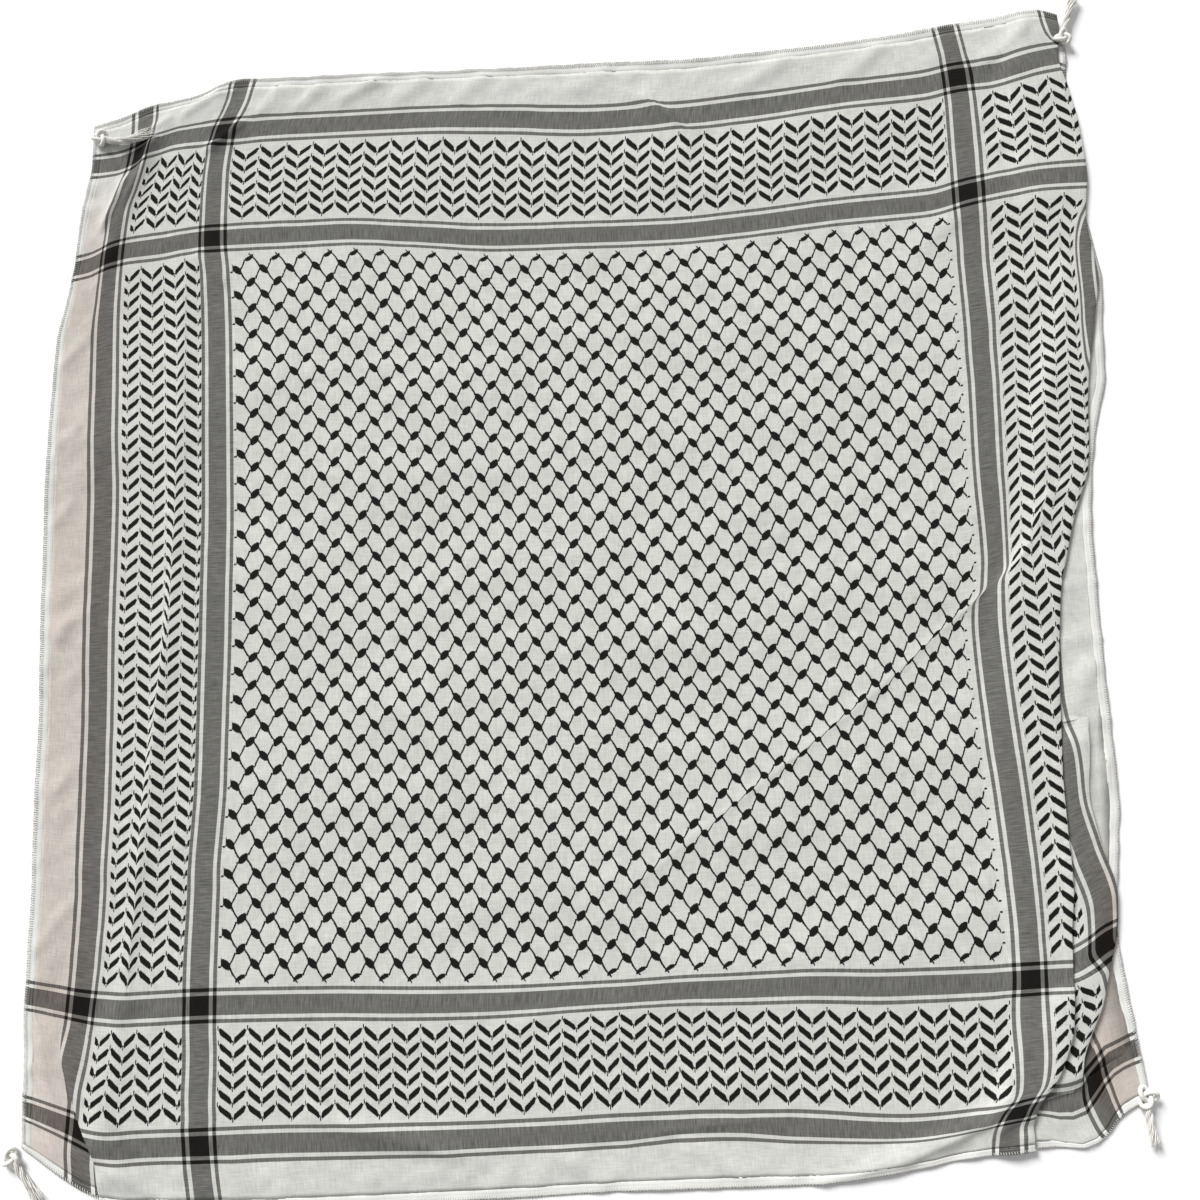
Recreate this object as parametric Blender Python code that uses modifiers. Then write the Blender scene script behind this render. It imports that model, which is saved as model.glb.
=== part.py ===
"""Keffiyeh headscarf, laid out on a flat surface.

One woven square, 1.3 m by 1.3 m, with a narrow double hem on each edge and a knotted
tassel on each corner. The cloth lies flat, with a long pleat along its right side, a
second, shorter fold in its lower right margin and a slanting one in its lower left corner.

Every piece of cloth is cut from one flat square and laid by the function `lay`. It turns
a place on the flat square, u to the right and v away from the front, into a place on the
table. The tables below give, for sections of the cloth, where its woven bands come to lie
and where it folds. They are in millimetres, and everything Blender gets is in metres.
"""

import math

import bpy
import numpy as np

MM = 0.001

# Middle of the laid scarf's bounds, tassels included, in the tables' own frame.
MIDDLE_X = -19.1
MIDDLE_Y = 30.9

# The flat square.
EDGE = 650.0                # middle of the square to its edge
HEM_WIDTH = 10.0
SEAM_GAP = 0.4
OUTER_BAND = 585.0          # middle of the square to the middle of the outer band
INNER_BAND = 444.0          # middle of the square to the middle of the inner band

# Walls and layers.
PANEL_WALL = 1.2
HEM_WALL = 1.6
PITCH = 2.6                 # from the middle of one layer to that of the next in a fold
REST_GAP = 0.3              # between a knot or tassel and the cloth below it
LOCAL_REACH = 160.0         # how far into the middle a sideways shift of the inner band is felt
RAMP_REACH = 45.0           # how far from a fold the cloth above it starts to rise
FAR_RIGHT_X = 456.0         # x of the inner right band if it lay straight, at the far edge
NEAR_RIGHT_X = 430.0        # and at the near edge
RAMP_LEVEL = 12.0           # how far from a fold it has risen
SOFT_HIDDEN = 8.0           # a fold that hides less than this is a soft step
SOFT_REACH = 12.0           # the least width of such a step

# Places of the mesh's columns and rows on the flat square.
FOLD_LEAD = 4.0             # from a fold's crest to the column before it
COLUMN_GAP = 2.0            # least distance between two folds' columns
LEFT_EVEN = (-632.0, -548.0)    # first and last column of the left fold where it is open
TUCK_EVEN = 638.0           # last column of the second fold where it is open
LEAF_COLUMNS = (-515.0, -497.0, -470.0)
MIDDLE_START = -420.0
MIDDLE_END = 380.0          # the least place of the last even column
MIDDLE_COLUMNS = 8
MARGIN_COLUMNS = 4
RAMP_CLEAR = 25.0           # from the last even column to the first one of the rise
RAMP_MIDDLE = 0.7           # share of the rise's reach at its middle column
FAR_ROWS = 25
NEAR_ROWS = 11
FAR_END = -420.0            # the far rows end here, and the closer rows start after it
NEAR_START = -440.0
TASSEL_STEPS = 9
TASSEL_WIDENS = 1.5         # the tassel is at full width at one over this of its length

# Left side: x of the hem and of the two bands, and the slanting fold's crest (as a place
# on the flat square) with the width that it hides.
LEFT_COLUMNS = ("v", "hem", "outer", "inner", "crest_u", "hidden")
LEFT_SECTIONS = (
    (650, -594, -531, -416, -600, 0),
    (620, -594, -532, -425, -600, 0),
    (585, -595, -537, -441, -600, 0),
    (530, -603, -551, -449, -600, 0),
    (500, -607, -561, -450, -600, 0),
    (444, -612, -568, -451, -600, 0),
    (400, -619, -572, -447, -600, 0),
    (350, -629, -574, -444, -600, 0),
    (230, -634, -572, -441, -600, 0),
    (120, -636, -569, -441, -600, 0),
    (0, -635, -569, -442, -600, 0),
    (-130, -633, -568, -442, -600, 0),
    (-200, -634, -568, -442, -600, 0),
    (-300, -634, -569, -448, -600, 0),
    (-400, -636, -572, -450, -601, 0),
    (-460, -637, -577, -450, -603, 0),
    (-495, -636, -582, -449, -600, 5),
    (-536, -634, -588, -449, -582, 15),
    (-565, -634, -590, -448, -567, 22),
    (-607, -633, -590, -445, -550, 19),
    (-650, -632, -586, -439, -548, 17),
)

# Right side: x of the inner band; the long pleat's crest, as x and as a place on the flat
# square; the second fold's crest, in the same way, with the share of its slack that is
# folded and not just gathered; and x of the hem.
RIGHT_COLUMNS = ("v", "inner", "pleat_x", "pleat_u", "tuck_x", "tuck_u", "folded", "hem")
RIGHT_SECTIONS = (
    (650, 440, 576, 594, 562, 628, 0, 584),
    (620, 446, 577, 590, 561, 628, 0, 583),
    (585, 450, 573, 559, 558, 628, 0, 580),
    (545, 452, 582, 562, 556, 628, 0, 578),
    (500, 452, 590, 564, 555, 628, 0, 577),
    (444, 450, 592, 566, 555, 628, 0, 577),
    (415, 449, 588, 567, 560, 628, 0, 582),
    (385, 449, 585, 580, 566, 628, 0, 588),
    (355, 448, 588, 597, 570, 628, 0, 592),
    (320, 448, 591, 604, 574, 628, 0, 596),
    (285, 448, 584, 595, 571, 628, 0, 593),
    (250, 447, 577, 584, 568, 628, 0, 590),
    (225, 447, 571, 575, 567, 628, 0, 589),
    (200, 446, 567, 566, 566, 628, 0, 588),
    (160, 444, 563, 562, 557, 628, 0, 579),
    (120, 442, 560, 561, 547, 628, 0, 569),
    (85, 441, 555, 562, 540, 628, 0, 562),
    (50, 441, 541, 562, 535, 628, 0, 557),
    (20, 440, 530, 557, 532, 628, 0, 554),
    (-10, 436, 521, 541, 530, 628, 0, 552),
    (-40, 430, 512, 525, 530, 628, 0, 552),
    (-80, 427, 507, 517, 529, 628, 0, 551),
    (-140, 428, 500, 510, 529, 628, 0, 551),
    (-200, 430, 496, 502, 525, 624, 1, 551),
    (-240, 433, 492, 498, 525, 616, 1, 551),
    (-300, 436, 491, 496, 519, 608, 1, 551),
    (-350, 437, 490, 496, 526, 605, 1, 546),
    (-400, 438, 484, 493, 537, 603, 1, 539),
    (-444, 438, 481, 490, 532, 601, 1, 534),
    (-470, 437, 480, 489, 520, 576, 1, 534),
    (-500, 436, 477, 487, 509, 565, 1, 536),
    (-530, 434, 466, 479, 494, 565, 1, 539),
    (-555, 429, 452, 472, 484, 566, 0.7, 542),
    (-585, 409, 434, 470, 481, 568, 0, 545),
    (-615, 399, 426, 470, 490, 570, 0, 548),
    (-650, 396, 425, 470, 502, 572, 0, 551),
)

# Front to back: y of the two hems and of the four bands that run across.
CROSS_COLUMNS = ("u", "far_hem", "far_outer", "far_inner", "near_inner", "near_outer", "near_hem")
CROSS_LINES = (EDGE, OUTER_BAND, INNER_BAND, -INNER_BAND, -OUTER_BAND, -EDGE)
CROSS_SECTIONS = (
    (-650, 580, 528, 398, -424, -538, -577),
    (-620, 588, 530, 404, -430, -549, -598),
    (-585, 602, 541, 414, -437, -563, -621),
    (-560, 607, 552, 420, -440, -577, -632),
    (-520, 613, 563, 424, -442, -582, -640),
    (-444, 635, 566, 433, -441, -582, -645),
    (-380, 635, 571, 434, -442, -582, -647),
    (-300, 636, 573, 434, -444, -583, -647),
    (-200, 637, 575, 426, -448, -585, -646),
    (-100, 638, 572, 419, -450, -586, -645),
    (0, 640, 566, 419, -448, -585, -643),
    (100, 641, 568, 420, -444, -582, -644),
    (200, 648, 576, 427, -444, -588, -644),
    (300, 657, 588, 438, -449, -595, -635),
    (400, 668, 597, 446, -450, -583, -624),
    (444, 674, 607, 459, -448, -573, -621),
    (490, 680, 611, 470, -447, -567, -617),
    (545, 687, 626, 475, -435, -561, -603),
    (567, 688, 629, 475, -424, -557, -595),
    (585, 683, 626, 475, -412, -546, -589),
    (610, 674, 616, 472, -402, -532, -582),
    (650, 656, 602, 464, -390, -520, -575),
)

# The longest soft pleats of the upper layer: ends on the flat square, width and height.
RIDGE_COLUMNS = ("u0", "v0", "u1", "v1", "width", "height")
RIDGES = (
    (-486, 420, -497, 0, 16, 3.0),
    (-497, 0, -532, -420, 16, 3.5),
    (-532, -420, -545, -600, 16, 2.5),
    (-560, 610, -590, 430, 18, 3.5),
    (60, 620, 130, 540, 14, 2.0),
    (-330, -560, -150, -600, 16, 2.0),
    (250, -640, 430, -570, 16, 3.0),
)

# Corners: where the knot sits and where its tassel ends, with the height each rests on.
CORNER_COLUMNS = ("name", "knot_x", "knot_y", "rest", "bend_x", "bend_y", "end_x", "end_y")
CORNERS = (
    ("top_left", -584, 562, HEM_WALL, -557, 557, -527, 567),
    ("top_right", 594, 654, 0.0, 600, 676, 609, 708),
    ("bottom_right", 558, -581, 0.0, 557, -600, 558, -634),
    ("bottom_left", -642, -585, 0.0, -630, -603, -611, -629),
)
KNOT_RING = 6.0             # radius of the ring that the knot's cord makes
KNOT_CORD = 2.6             # radius of that cord
TASSEL_RADIUS = 3.4
TASSEL_NECK = 2.0

COTTON = (0.70, 0.69, 0.66)
HEM_COTTON = (0.80, 0.80, 0.77)
TASSEL_COTTON = (0.78, 0.77, 0.74)


def smooth_step(x):
    """Return 0 below 0, 1 above 1 and a smooth rise between."""
    t = np.clip(x, 0.0, 1.0)
    return t * t * (3.0 - 2.0 * t)


def column(columns, rows, name):
    """Return one named column of a table, in rising order of its first column."""
    ordered = sorted(rows)
    return np.array([row[columns.index(name)] for row in ordered], dtype=float)


def section(columns, rows, name, place):
    """Read a named column at a place along the table, smoothly between its rows."""
    known = column(columns, rows, columns[0])
    value = column(columns, rows, name)
    slope = np.diff(value) / np.diff(known)
    product = np.maximum(slope[:-1] * slope[1:], 0.0)
    total = np.abs(slope[:-1] + slope[1:])
    middle = np.sign(slope[:-1]) * 2.0 * product / np.maximum(total, 1e-9)
    tangent = np.concatenate(([slope[0]], middle, [slope[-1]]))
    place = np.clip(place, known[0], known[-1])
    i = np.clip(np.searchsorted(known, place) - 1, 0, len(known) - 2)
    width = known[i + 1] - known[i]
    t = (place - known[i]) / width
    return ((1 + 2 * t) * (1 - t) ** 2 * value[i] + t * (1 - t) ** 2 * width * tangent[i]
            + t * t * (3 - 2 * t) * value[i + 1] + t * t * (t - 1) * width * tangent[i + 1])


def fold_step(past, hidden):
    """Return the shift and the lift of the cloth along one Z-fold.

    `past` is the flat distance past the crest, and `hidden` the width that the fold hides.
    Before the crest the cloth is shifted by nothing and lifted by two layers, and past the
    fold it is shifted back by `hidden` and lies on the surface.
    """
    radius = PITCH / 2
    turn = math.pi * radius / 2
    half = np.maximum(hidden / 2, 2 * turn)
    crest = np.clip(past / turn, -1, 1) * math.pi / 2
    valley = np.clip((past - half) / turn, -1, 1) * math.pi / 2
    back = np.clip(past, turn, half - turn) - turn
    ahead = np.maximum(past - half - turn, 0.0)
    before = np.minimum(past + turn, 0.0)
    place = before + radius * (np.cos(crest) - 1) - back - radius * np.cos(valley) + ahead + radius - turn
    folded = place - past + turn
    lift = 2 * PITCH - radius * (1 + np.sin(crest)) - radius * (1 + np.sin(valley))
    reach = np.maximum(2.0 * hidden, SOFT_REACH)
    soft = smooth_step((past + 0.25 * reach) / reach)
    share = smooth_step((hidden - SOFT_HIDDEN) / SOFT_HIDDEN)
    strength = smooth_step(hidden / SOFT_HIDDEN)
    shift = -(1 - share) * hidden * soft + share * (folded - radius)
    return shift, strength * ((1 - share) * 2 * PITCH * (1 - soft) + share * lift)


def left_fold(v):
    """Return the crest and the hidden width of the lower left fold."""
    return (section(LEFT_COLUMNS, LEFT_SECTIONS, "crest_u", v),
            section(LEFT_COLUMNS, LEFT_SECTIONS, "hidden", v))


def right_folds(v):
    """Return crest place, crest x and hidden width of the pleat, then of the tuck."""
    value = {name: section(RIGHT_COLUMNS, RIGHT_SECTIONS, name, v) for name in RIGHT_COLUMNS[1:]}
    upper = value["pleat_x"] - value["pleat_u"]
    middle = value["tuck_x"] - value["tuck_u"]
    lower = value["hem"] - EDGE
    pleat_hidden = upper - middle
    slack = np.maximum(middle - lower, 0.0)
    tuck_hidden = slack * value["folded"]
    return value, pleat_hidden, tuck_hidden, slack - tuck_hidden


def lay_x(u, v):
    """Return x on the surface and the lift of the fold layers, both in millimetres."""
    crest, hidden = left_fold(v)
    hem = section(LEFT_COLUMNS, LEFT_SECTIONS, "hem", v) - hidden
    outer = section(LEFT_COLUMNS, LEFT_SECTIONS, "outer", v)
    inner = section(LEFT_COLUMNS, LEFT_SECTIONS, "inner", v)
    value, pleat_hidden, tuck_hidden, gathered = right_folds(v)

    straight = FAR_RIGHT_X + (NEAR_RIGHT_X - FAR_RIGHT_X) * (EDGE - v) / (2 * EDGE)
    local = (value["inner"] - straight) * smooth_step(1 - (INNER_BAND - u) / LOCAL_REACH)
    x = inner + (straight - inner) * (u + INNER_BAND) / (2 * INNER_BAND) + local
    x = np.where(u < -INNER_BAND,
                 outer + (inner - outer) * (u + OUTER_BAND) / (OUTER_BAND - INNER_BAND), x)
    x = np.where(u < -OUTER_BAND, hem + (outer - hem) * (u + EDGE) / (EDGE - OUTER_BAND), x)
    upper = value["inner"] + (value["pleat_x"] - value["inner"]) * (
        (u - INNER_BAND) / (value["pleat_u"] - INNER_BAND))
    x = np.where(u > INNER_BAND, upper, x)
    gather = gathered / (EDGE - value["tuck_u"] - tuck_hidden)
    under = value["pleat_x"] + u - value["pleat_u"] - gather * np.maximum(
        u - value["tuck_u"] - tuck_hidden, 0.0)
    x = np.where(u > value["pleat_u"], under, x)

    left_shift, left_lift = fold_step(crest - u, hidden)
    pleat_shift, pleat_lift = fold_step(u - value["pleat_u"], pleat_hidden)
    tuck_shift, tuck_lift = fold_step(u - value["tuck_u"], tuck_hidden)
    x = x - left_shift + pleat_shift + tuck_shift

    left_valley = inner + (crest + INNER_BAND) + hidden / 2
    pleat_valley = value["pleat_x"] - pleat_hidden / 2
    tuck_valley = value["tuck_x"] - tuck_hidden / 2
    span = RAMP_REACH - RAMP_LEVEL
    left_ramp = smooth_step((left_valley + RAMP_REACH - x) / span)
    pleat_ramp = smooth_step((x - pleat_valley + RAMP_REACH) / span)
    tuck_ramp = smooth_step((x - tuck_valley + RAMP_REACH) / span)
    lift = (np.where(u > crest, left_ramp, 1.0) * left_lift
            + np.where(u < value["pleat_u"], pleat_ramp, 1.0) * pleat_lift
            + np.where(u < value["tuck_u"], tuck_ramp, 1.0) * tuck_lift)
    return x, lift


def lay_y(u, v):
    """Return y on the surface, in millimetres."""
    lines = [section(CROSS_COLUMNS, CROSS_SECTIONS, name, u) for name in CROSS_COLUMNS[1:]]
    y = lines[0]
    for far, near, far_y, near_y in zip(CROSS_LINES, CROSS_LINES[1:], lines, lines[1:]):
        between = near_y + (far_y - near_y) * (v - near) / (far - near)
        y = np.where(v < far, between, y)
    return y


def ridge_lift(u, v):
    """Return the lift of the soft pleats."""
    total = np.zeros(np.shape(u))
    for u0, v0, u1, v1, width, height in RIDGES:
        along_u, along_v = u1 - u0, v1 - v0
        length = math.hypot(along_u, along_v)
        along = ((u - u0) * along_u + (v - v0) * along_v) / length ** 2
        across = ((u - u0) * along_v - (v - v0) * along_u) / length
        ends = smooth_step(along * 4) * smooth_step((1 - along) * 4)
        total += height * ends * np.exp(-(across / width) ** 2)
    return total


def lay(u, v):
    """Turn places on the flat square into places in the model's frame, in millimetres."""
    x, lift = lay_x(u, v)
    return x - MIDDLE_X, lay_y(u, v) - MIDDLE_Y, lift + ridge_lift(u, v)


def fold_places(crest, hidden, side):
    """Return the flat places that follow one fold's two turns, on its hidden side."""
    turn = math.pi * PITCH / 4
    half = np.maximum(hidden / 2, 2 * turn + COLUMN_GAP / 2)
    steps = (-FOLD_LEAD, -turn, -turn / 3, turn / 3, turn, half - turn, half - turn / 3,
             half + turn / 3, half + turn)
    return [crest + side * step for step in steps]


def columns_at(v, edge):
    """Return the places of the mesh columns at v, from -edge to edge, in rising order."""
    crest, hidden = left_fold(v)
    value, pleat_hidden, tuck_hidden, _ = right_folds(v)
    left = sorted(fold_places(crest, hidden, -1))
    even_left = np.linspace(*LEFT_EVEN, len(left))
    share = float(smooth_step(hidden / COLUMN_GAP))
    left = [share * a + (1 - share) * b for a, b in zip(left, even_left)]
    pleat = fold_places(value["pleat_u"], pleat_hidden, 1)
    tuck = fold_places(value["tuck_u"], tuck_hidden, 1)
    even_tuck = np.linspace(pleat[-1] + COLUMN_GAP, TUCK_EVEN, len(tuck))
    share = float(smooth_step(tuck_hidden / COLUMN_GAP))
    tuck = [share * a + (1 - share) * b for a, b in zip(tuck, even_tuck)]
    rise = value["pleat_u"] - pleat_hidden / 2
    ramp = [rise - RAMP_REACH, rise - RAMP_MIDDLE * RAMP_REACH, rise - RAMP_LEVEL]
    start = max(ramp[0] - RAMP_CLEAR, MIDDLE_END)
    middle = list(np.linspace(MIDDLE_START, start, MIDDLE_COLUMNS))
    between = [0.5 * (pleat[-1] + tuck[0])]
    hem = EDGE - HEM_WIDTH
    margin = list(np.linspace(-hem, left[0], MARGIN_COLUMNS)[1:-1])
    inside = margin + left + list(LEAF_COLUMNS) + middle + ramp + pleat + between + tuck
    ends = [hem] if edge == hem else [hem, edge]
    return [-place for place in reversed(ends)] + [float(place) for place in inside] + ends


def new_collection(name):
    """Add a collection to the scene."""
    collection = bpy.data.collections.new(name)
    bpy.context.scene.collection.children.link(collection)
    return collection


def cotton(name, colour):
    """Return a matt cotton material."""
    material = bpy.data.materials.new(name)
    material.use_nodes = True
    shader = material.node_tree.nodes["Principled BSDF"]
    shader.inputs["Base Color"].default_value = (*colour, 1.0)
    shader.inputs["Roughness"].default_value = 0.9
    shader.inputs["Metallic"].default_value = 0.0
    return material


def place_in(collection, thing, material):
    """Name a new object's collection and material."""
    for owner in thing.users_collection:
        owner.objects.unlink(thing)
    collection.objects.link(thing)
    thing.data.materials.append(material)


def cloth(name, grid_u, grid_v, wall, collection, material):
    """Make a wall of cloth from a grid, laid by `lay`.

    grid_u and grid_v are arrays of the same shape, one row for each row of the mesh.
    """
    rows, columns = grid_u.shape
    bpy.ops.mesh.primitive_grid_add(x_subdivisions=columns - 1, y_subdivisions=rows - 1, size=1.0)
    thing = bpy.context.object
    thing.name = name
    thing.data.name = name
    x, y, lift = lay(grid_u, grid_v)
    places = np.stack((x, y, lift + wall / 2), axis=-1).reshape(-1, 3) * MM
    thing.data.vertices.foreach_set("co", places.ravel().astype(np.float32))
    thing.data.update()
    solid = thing.modifiers.new("wall", "SOLIDIFY")
    solid.thickness = wall * MM
    solid.offset = 0.0
    solid.use_rim = True
    place_in(collection, thing, material)
    thing.data.shade_smooth()
    return thing


def mesh_rows():
    """Return the rows of the panel's mesh, closer together where the corners fold."""
    limit = EDGE - HEM_WIDTH
    seam = limit - HEM_WIDTH
    far = np.linspace(seam, FAR_END, FAR_ROWS)
    near = np.linspace(NEAR_START, -seam, NEAR_ROWS)
    return np.concatenate(([limit], far, near, [-limit]))[::-1]


def woven_square(collection, material):
    """Make the woven square, inside its hems."""
    rows = mesh_rows()
    grid_u = np.array([columns_at(v, EDGE - HEM_WIDTH) for v in rows])
    grid_v = np.repeat(rows[:, None], grid_u.shape[1], axis=1)
    return cloth("woven_square", grid_u, grid_v, PANEL_WALL, collection, material)


def cross_hem(name, v_inner, v_outer, collection, material):
    """Make the hem along the far or the near edge, corners included."""
    rows = sorted((v_inner, v_outer))
    grid_u = np.array([columns_at(v, EDGE) for v in rows])
    grid_v = np.repeat(np.array(rows)[:, None], grid_u.shape[1], axis=1)
    return cloth(name, grid_u, grid_v, HEM_WALL, collection, material)


def side_hem(name, u_inner, u_outer, collection, material):
    """Make the hem along one side, between the corners."""
    rows = mesh_rows()
    places = np.array(sorted((u_inner, u_outer)))
    grid_u = np.repeat(places[None, :], len(rows), axis=0)
    grid_v = np.repeat(rows[:, None], len(places), axis=1)
    return cloth(name, grid_u, grid_v, HEM_WALL, collection, material)


def knot(corner, collection, material):
    """Make a corner's knot as a ring of cord that lies flat."""
    name, x, y, rest = corner[:4]
    height = rest + (REST_GAP if rest > 0 else 0.0) + KNOT_CORD
    bpy.ops.mesh.primitive_torus_add(
        major_radius=KNOT_RING * MM, minor_radius=KNOT_CORD * MM, major_segments=12, minor_segments=6,
        location=((x - MIDDLE_X) * MM, (y - MIDDLE_Y) * MM, height * MM))
    thing = bpy.context.object
    thing.name = "knot_" + name
    place_in(collection, thing, material)
    thing.data.shade_smooth()
    return thing


def tassel(corner, collection, material):
    """Make a corner's tassel as a cord that widens to a brush."""
    name, x, y, rest, bend_x, bend_y, end_x, end_y = corner
    away = np.array((bend_x - x, bend_y - y), dtype=float)
    away /= np.linalg.norm(away)
    start = np.array((x, y)) + away * (KNOT_RING + KNOT_CORD + REST_GAP)
    bend = np.array((bend_x, bend_y), dtype=float)
    end = np.array((end_x, end_y), dtype=float)
    curve = bpy.data.curves.new("tassel_" + name, "CURVE")
    curve.dimensions = "3D"
    curve.bevel_depth = MM
    curve.bevel_resolution = 2
    curve.use_fill_caps = True
    spline = curve.splines.new("POLY")
    spline.points.add(TASSEL_STEPS - 1)
    for i, point in enumerate(spline.points):
        t = i / (TASSEL_STEPS - 1)
        place = (1 - t) ** 2 * start + 2 * t * (1 - t) * bend + t * t * end
        radius = TASSEL_NECK + (TASSEL_RADIUS - TASSEL_NECK) * smooth_step(t * TASSEL_WIDENS)
        height = rest + (REST_GAP if rest > 0 else 0.0) + radius
        point.co = ((place[0] - MIDDLE_X) * MM, (place[1] - MIDDLE_Y) * MM, height * MM, 1.0)
        point.radius = float(radius)
    thing = bpy.data.objects.new("tassel_" + name, curve)
    collection.objects.link(thing)
    curve.materials.append(material)
    return thing


def main():
    """Build the headscarf."""
    for thing in list(bpy.data.objects):
        bpy.data.objects.remove(thing, do_unlink=True)
    collection = new_collection("keffiyeh")
    woven = cotton("woven_cotton", COTTON)
    hemmed = cotton("hem_cotton", HEM_COTTON)
    twisted = cotton("tassel_cotton", TASSEL_COTTON)
    woven_square(collection, woven)
    inner = EDGE - HEM_WIDTH + SEAM_GAP
    cross_hem("hem_top", inner, EDGE, collection, hemmed)
    cross_hem("hem_bottom", -inner, -EDGE, collection, hemmed)
    side_hem("hem_left", -inner, -EDGE, collection, hemmed)
    side_hem("hem_right", inner, EDGE, collection, hemmed)
    for corner in CORNERS:
        knot(corner, collection, twisted)
        tassel(corner, collection, twisted)


main()
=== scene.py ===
"""Keffiyeh headscarf, laid out on a flat surface: its looks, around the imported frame.

The cloth is one woven square, 1.3 m by 1.3 m. A place on the flat square is (u, v) in
millimetres from its middle, u to the right and v away from the front, and `Lie.lay` turns it
into a place on the table. Every pattern is drawn on the flat square, through the cloth's UV
map, so that bands, leaves and net follow the cloth into its folds.
"""

from __future__ import annotations

import logging
import math
from dataclasses import dataclass
from enum import Enum

import bpy
import numpy as np
from mathutils import Matrix

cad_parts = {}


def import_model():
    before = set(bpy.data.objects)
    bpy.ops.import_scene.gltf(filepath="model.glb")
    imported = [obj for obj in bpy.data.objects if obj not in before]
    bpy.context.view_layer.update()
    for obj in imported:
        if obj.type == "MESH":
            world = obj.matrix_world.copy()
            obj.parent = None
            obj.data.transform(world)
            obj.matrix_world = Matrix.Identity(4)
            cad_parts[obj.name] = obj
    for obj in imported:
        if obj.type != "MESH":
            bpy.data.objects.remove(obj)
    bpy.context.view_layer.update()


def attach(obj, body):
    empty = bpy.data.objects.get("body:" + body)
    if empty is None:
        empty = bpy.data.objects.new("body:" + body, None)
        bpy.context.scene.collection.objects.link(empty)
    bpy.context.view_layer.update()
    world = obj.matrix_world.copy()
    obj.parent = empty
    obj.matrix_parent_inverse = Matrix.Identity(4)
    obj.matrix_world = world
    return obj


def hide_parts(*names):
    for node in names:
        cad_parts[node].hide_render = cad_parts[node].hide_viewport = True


LOG = logging.getLogger("keffiyeh")
MM = 0.001
UV_MAP = "flat_square"

# The flat square, in millimetres from its middle.
EDGE = 650.0
HEM_WIDTH = 10.0
OUTER_BAND = 585.0
INNER_BAND = 444.0
MIDDLE_X = -19.1
MIDDLE_Y = 30.9

# Layers.
PITCH = 2.6
SOFT_HIDDEN = 8.0           # a fold that hides less is a soft step
SOFT_REACH = 12.0
LOCAL_REACH = 160.0
RAMP_REACH = 45.0
RAMP_LEVEL = 12.0
FAR_RIGHT_X = 456.0
NEAR_RIGHT_X = 430.0
CLOTH_WALL = 0.5
HEM_WALL = 0.8
CLOTH_REST = 0.45           # from the surface to the middle of the cloth's wall

Array = np.ndarray
Colour = tuple[float, float, float]


class Side(Enum):
    """One edge of the square."""

    TOP = "top"
    BOTTOM = "bottom"
    LEFT = "left"
    RIGHT = "right"


class Turn(Enum):
    """Which way a fold's hidden layer goes from its crest."""

    LEFTWARDS = -1
    RIGHTWARDS = 1


class CreaseForm(Enum):
    """The section of a crease."""

    SOFT = "a rounded swell"
    SHARP = "a pinched line with long shoulders"


@dataclass(frozen=True)
class Sections:
    """Named columns of a table, each row a section of the cloth."""

    columns: tuple[str, ...]
    rows: tuple[tuple[float, ...], ...]

    def column(self, name: str) -> Array:
        """Return one column, in rising order of the first one."""
        at = self.columns.index(name)
        return np.array([row[at] for row in sorted(self.rows)], dtype=float)

    def read(self, name: str, place: Array) -> Array:
        """Read a column at places along the table, by monotone cubic pieces.

        Args:
            name: the column to read.
            place: values of the first column.

        Returns:
            The column's value at each place.
        """
        known = self.column(self.columns[0])
        value = self.column(name)
        slope = np.diff(value) / np.diff(known)
        product = np.maximum(slope[:-1] * slope[1:], 0.0)
        total = np.abs(slope[:-1] + slope[1:])
        middle = np.sign(slope[:-1]) * 2.0 * product / np.maximum(total, 1e-9)
        tangent = np.concatenate(([slope[0]], middle, [slope[-1]]))
        place = np.clip(place, known[0], known[-1])
        i = np.clip(np.searchsorted(known, place) - 1, 0, len(known) - 2)
        width = known[i + 1] - known[i]
        t = (place - known[i]) / width
        start = (1 + 2 * t) * (1 - t) ** 2 * value[i] + t * (1 - t) ** 2 * width * tangent[i]
        end = t * t * (3 - 2 * t) * value[i + 1] + t * t * (t - 1) * width * tangent[i + 1]
        return start + end


# Left side: x of the hem and of the two bands, and the slanting fold's crest with the width
# that it hides.
LEFT = Sections(("v", "hem", "outer", "inner", "crest_u", "hidden"), (
    (650, -594, -531, -416, -600, 0),
    (620, -594, -532, -425, -600, 0),
    (585, -595, -537, -441, -600, 0),
    (530, -603, -551, -449, -600, 0),
    (500, -607, -561, -450, -600, 0),
    (444, -612, -568, -451, -600, 0),
    (400, -619, -572, -447, -600, 0),
    (350, -629, -574, -444, -600, 0),
    (230, -634, -572, -441, -600, 0),
    (120, -636, -569, -441, -600, 0),
    (0, -635, -569, -442, -600, 0),
    (-130, -633, -568, -442, -600, 0),
    (-200, -634, -568, -442, -600, 0),
    (-300, -634, -569, -448, -600, 0),
    (-400, -636, -572, -450, -601, 0),
    (-460, -637, -577, -450, -603, 0),
    (-495, -636, -582, -449, -600, 5),
    (-536, -634, -588, -449, -582, 15),
    (-565, -634, -590, -448, -567, 22),
    (-607, -633, -590, -445, -550, 19),
    (-650, -632, -586, -439, -548, 17),
))

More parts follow.
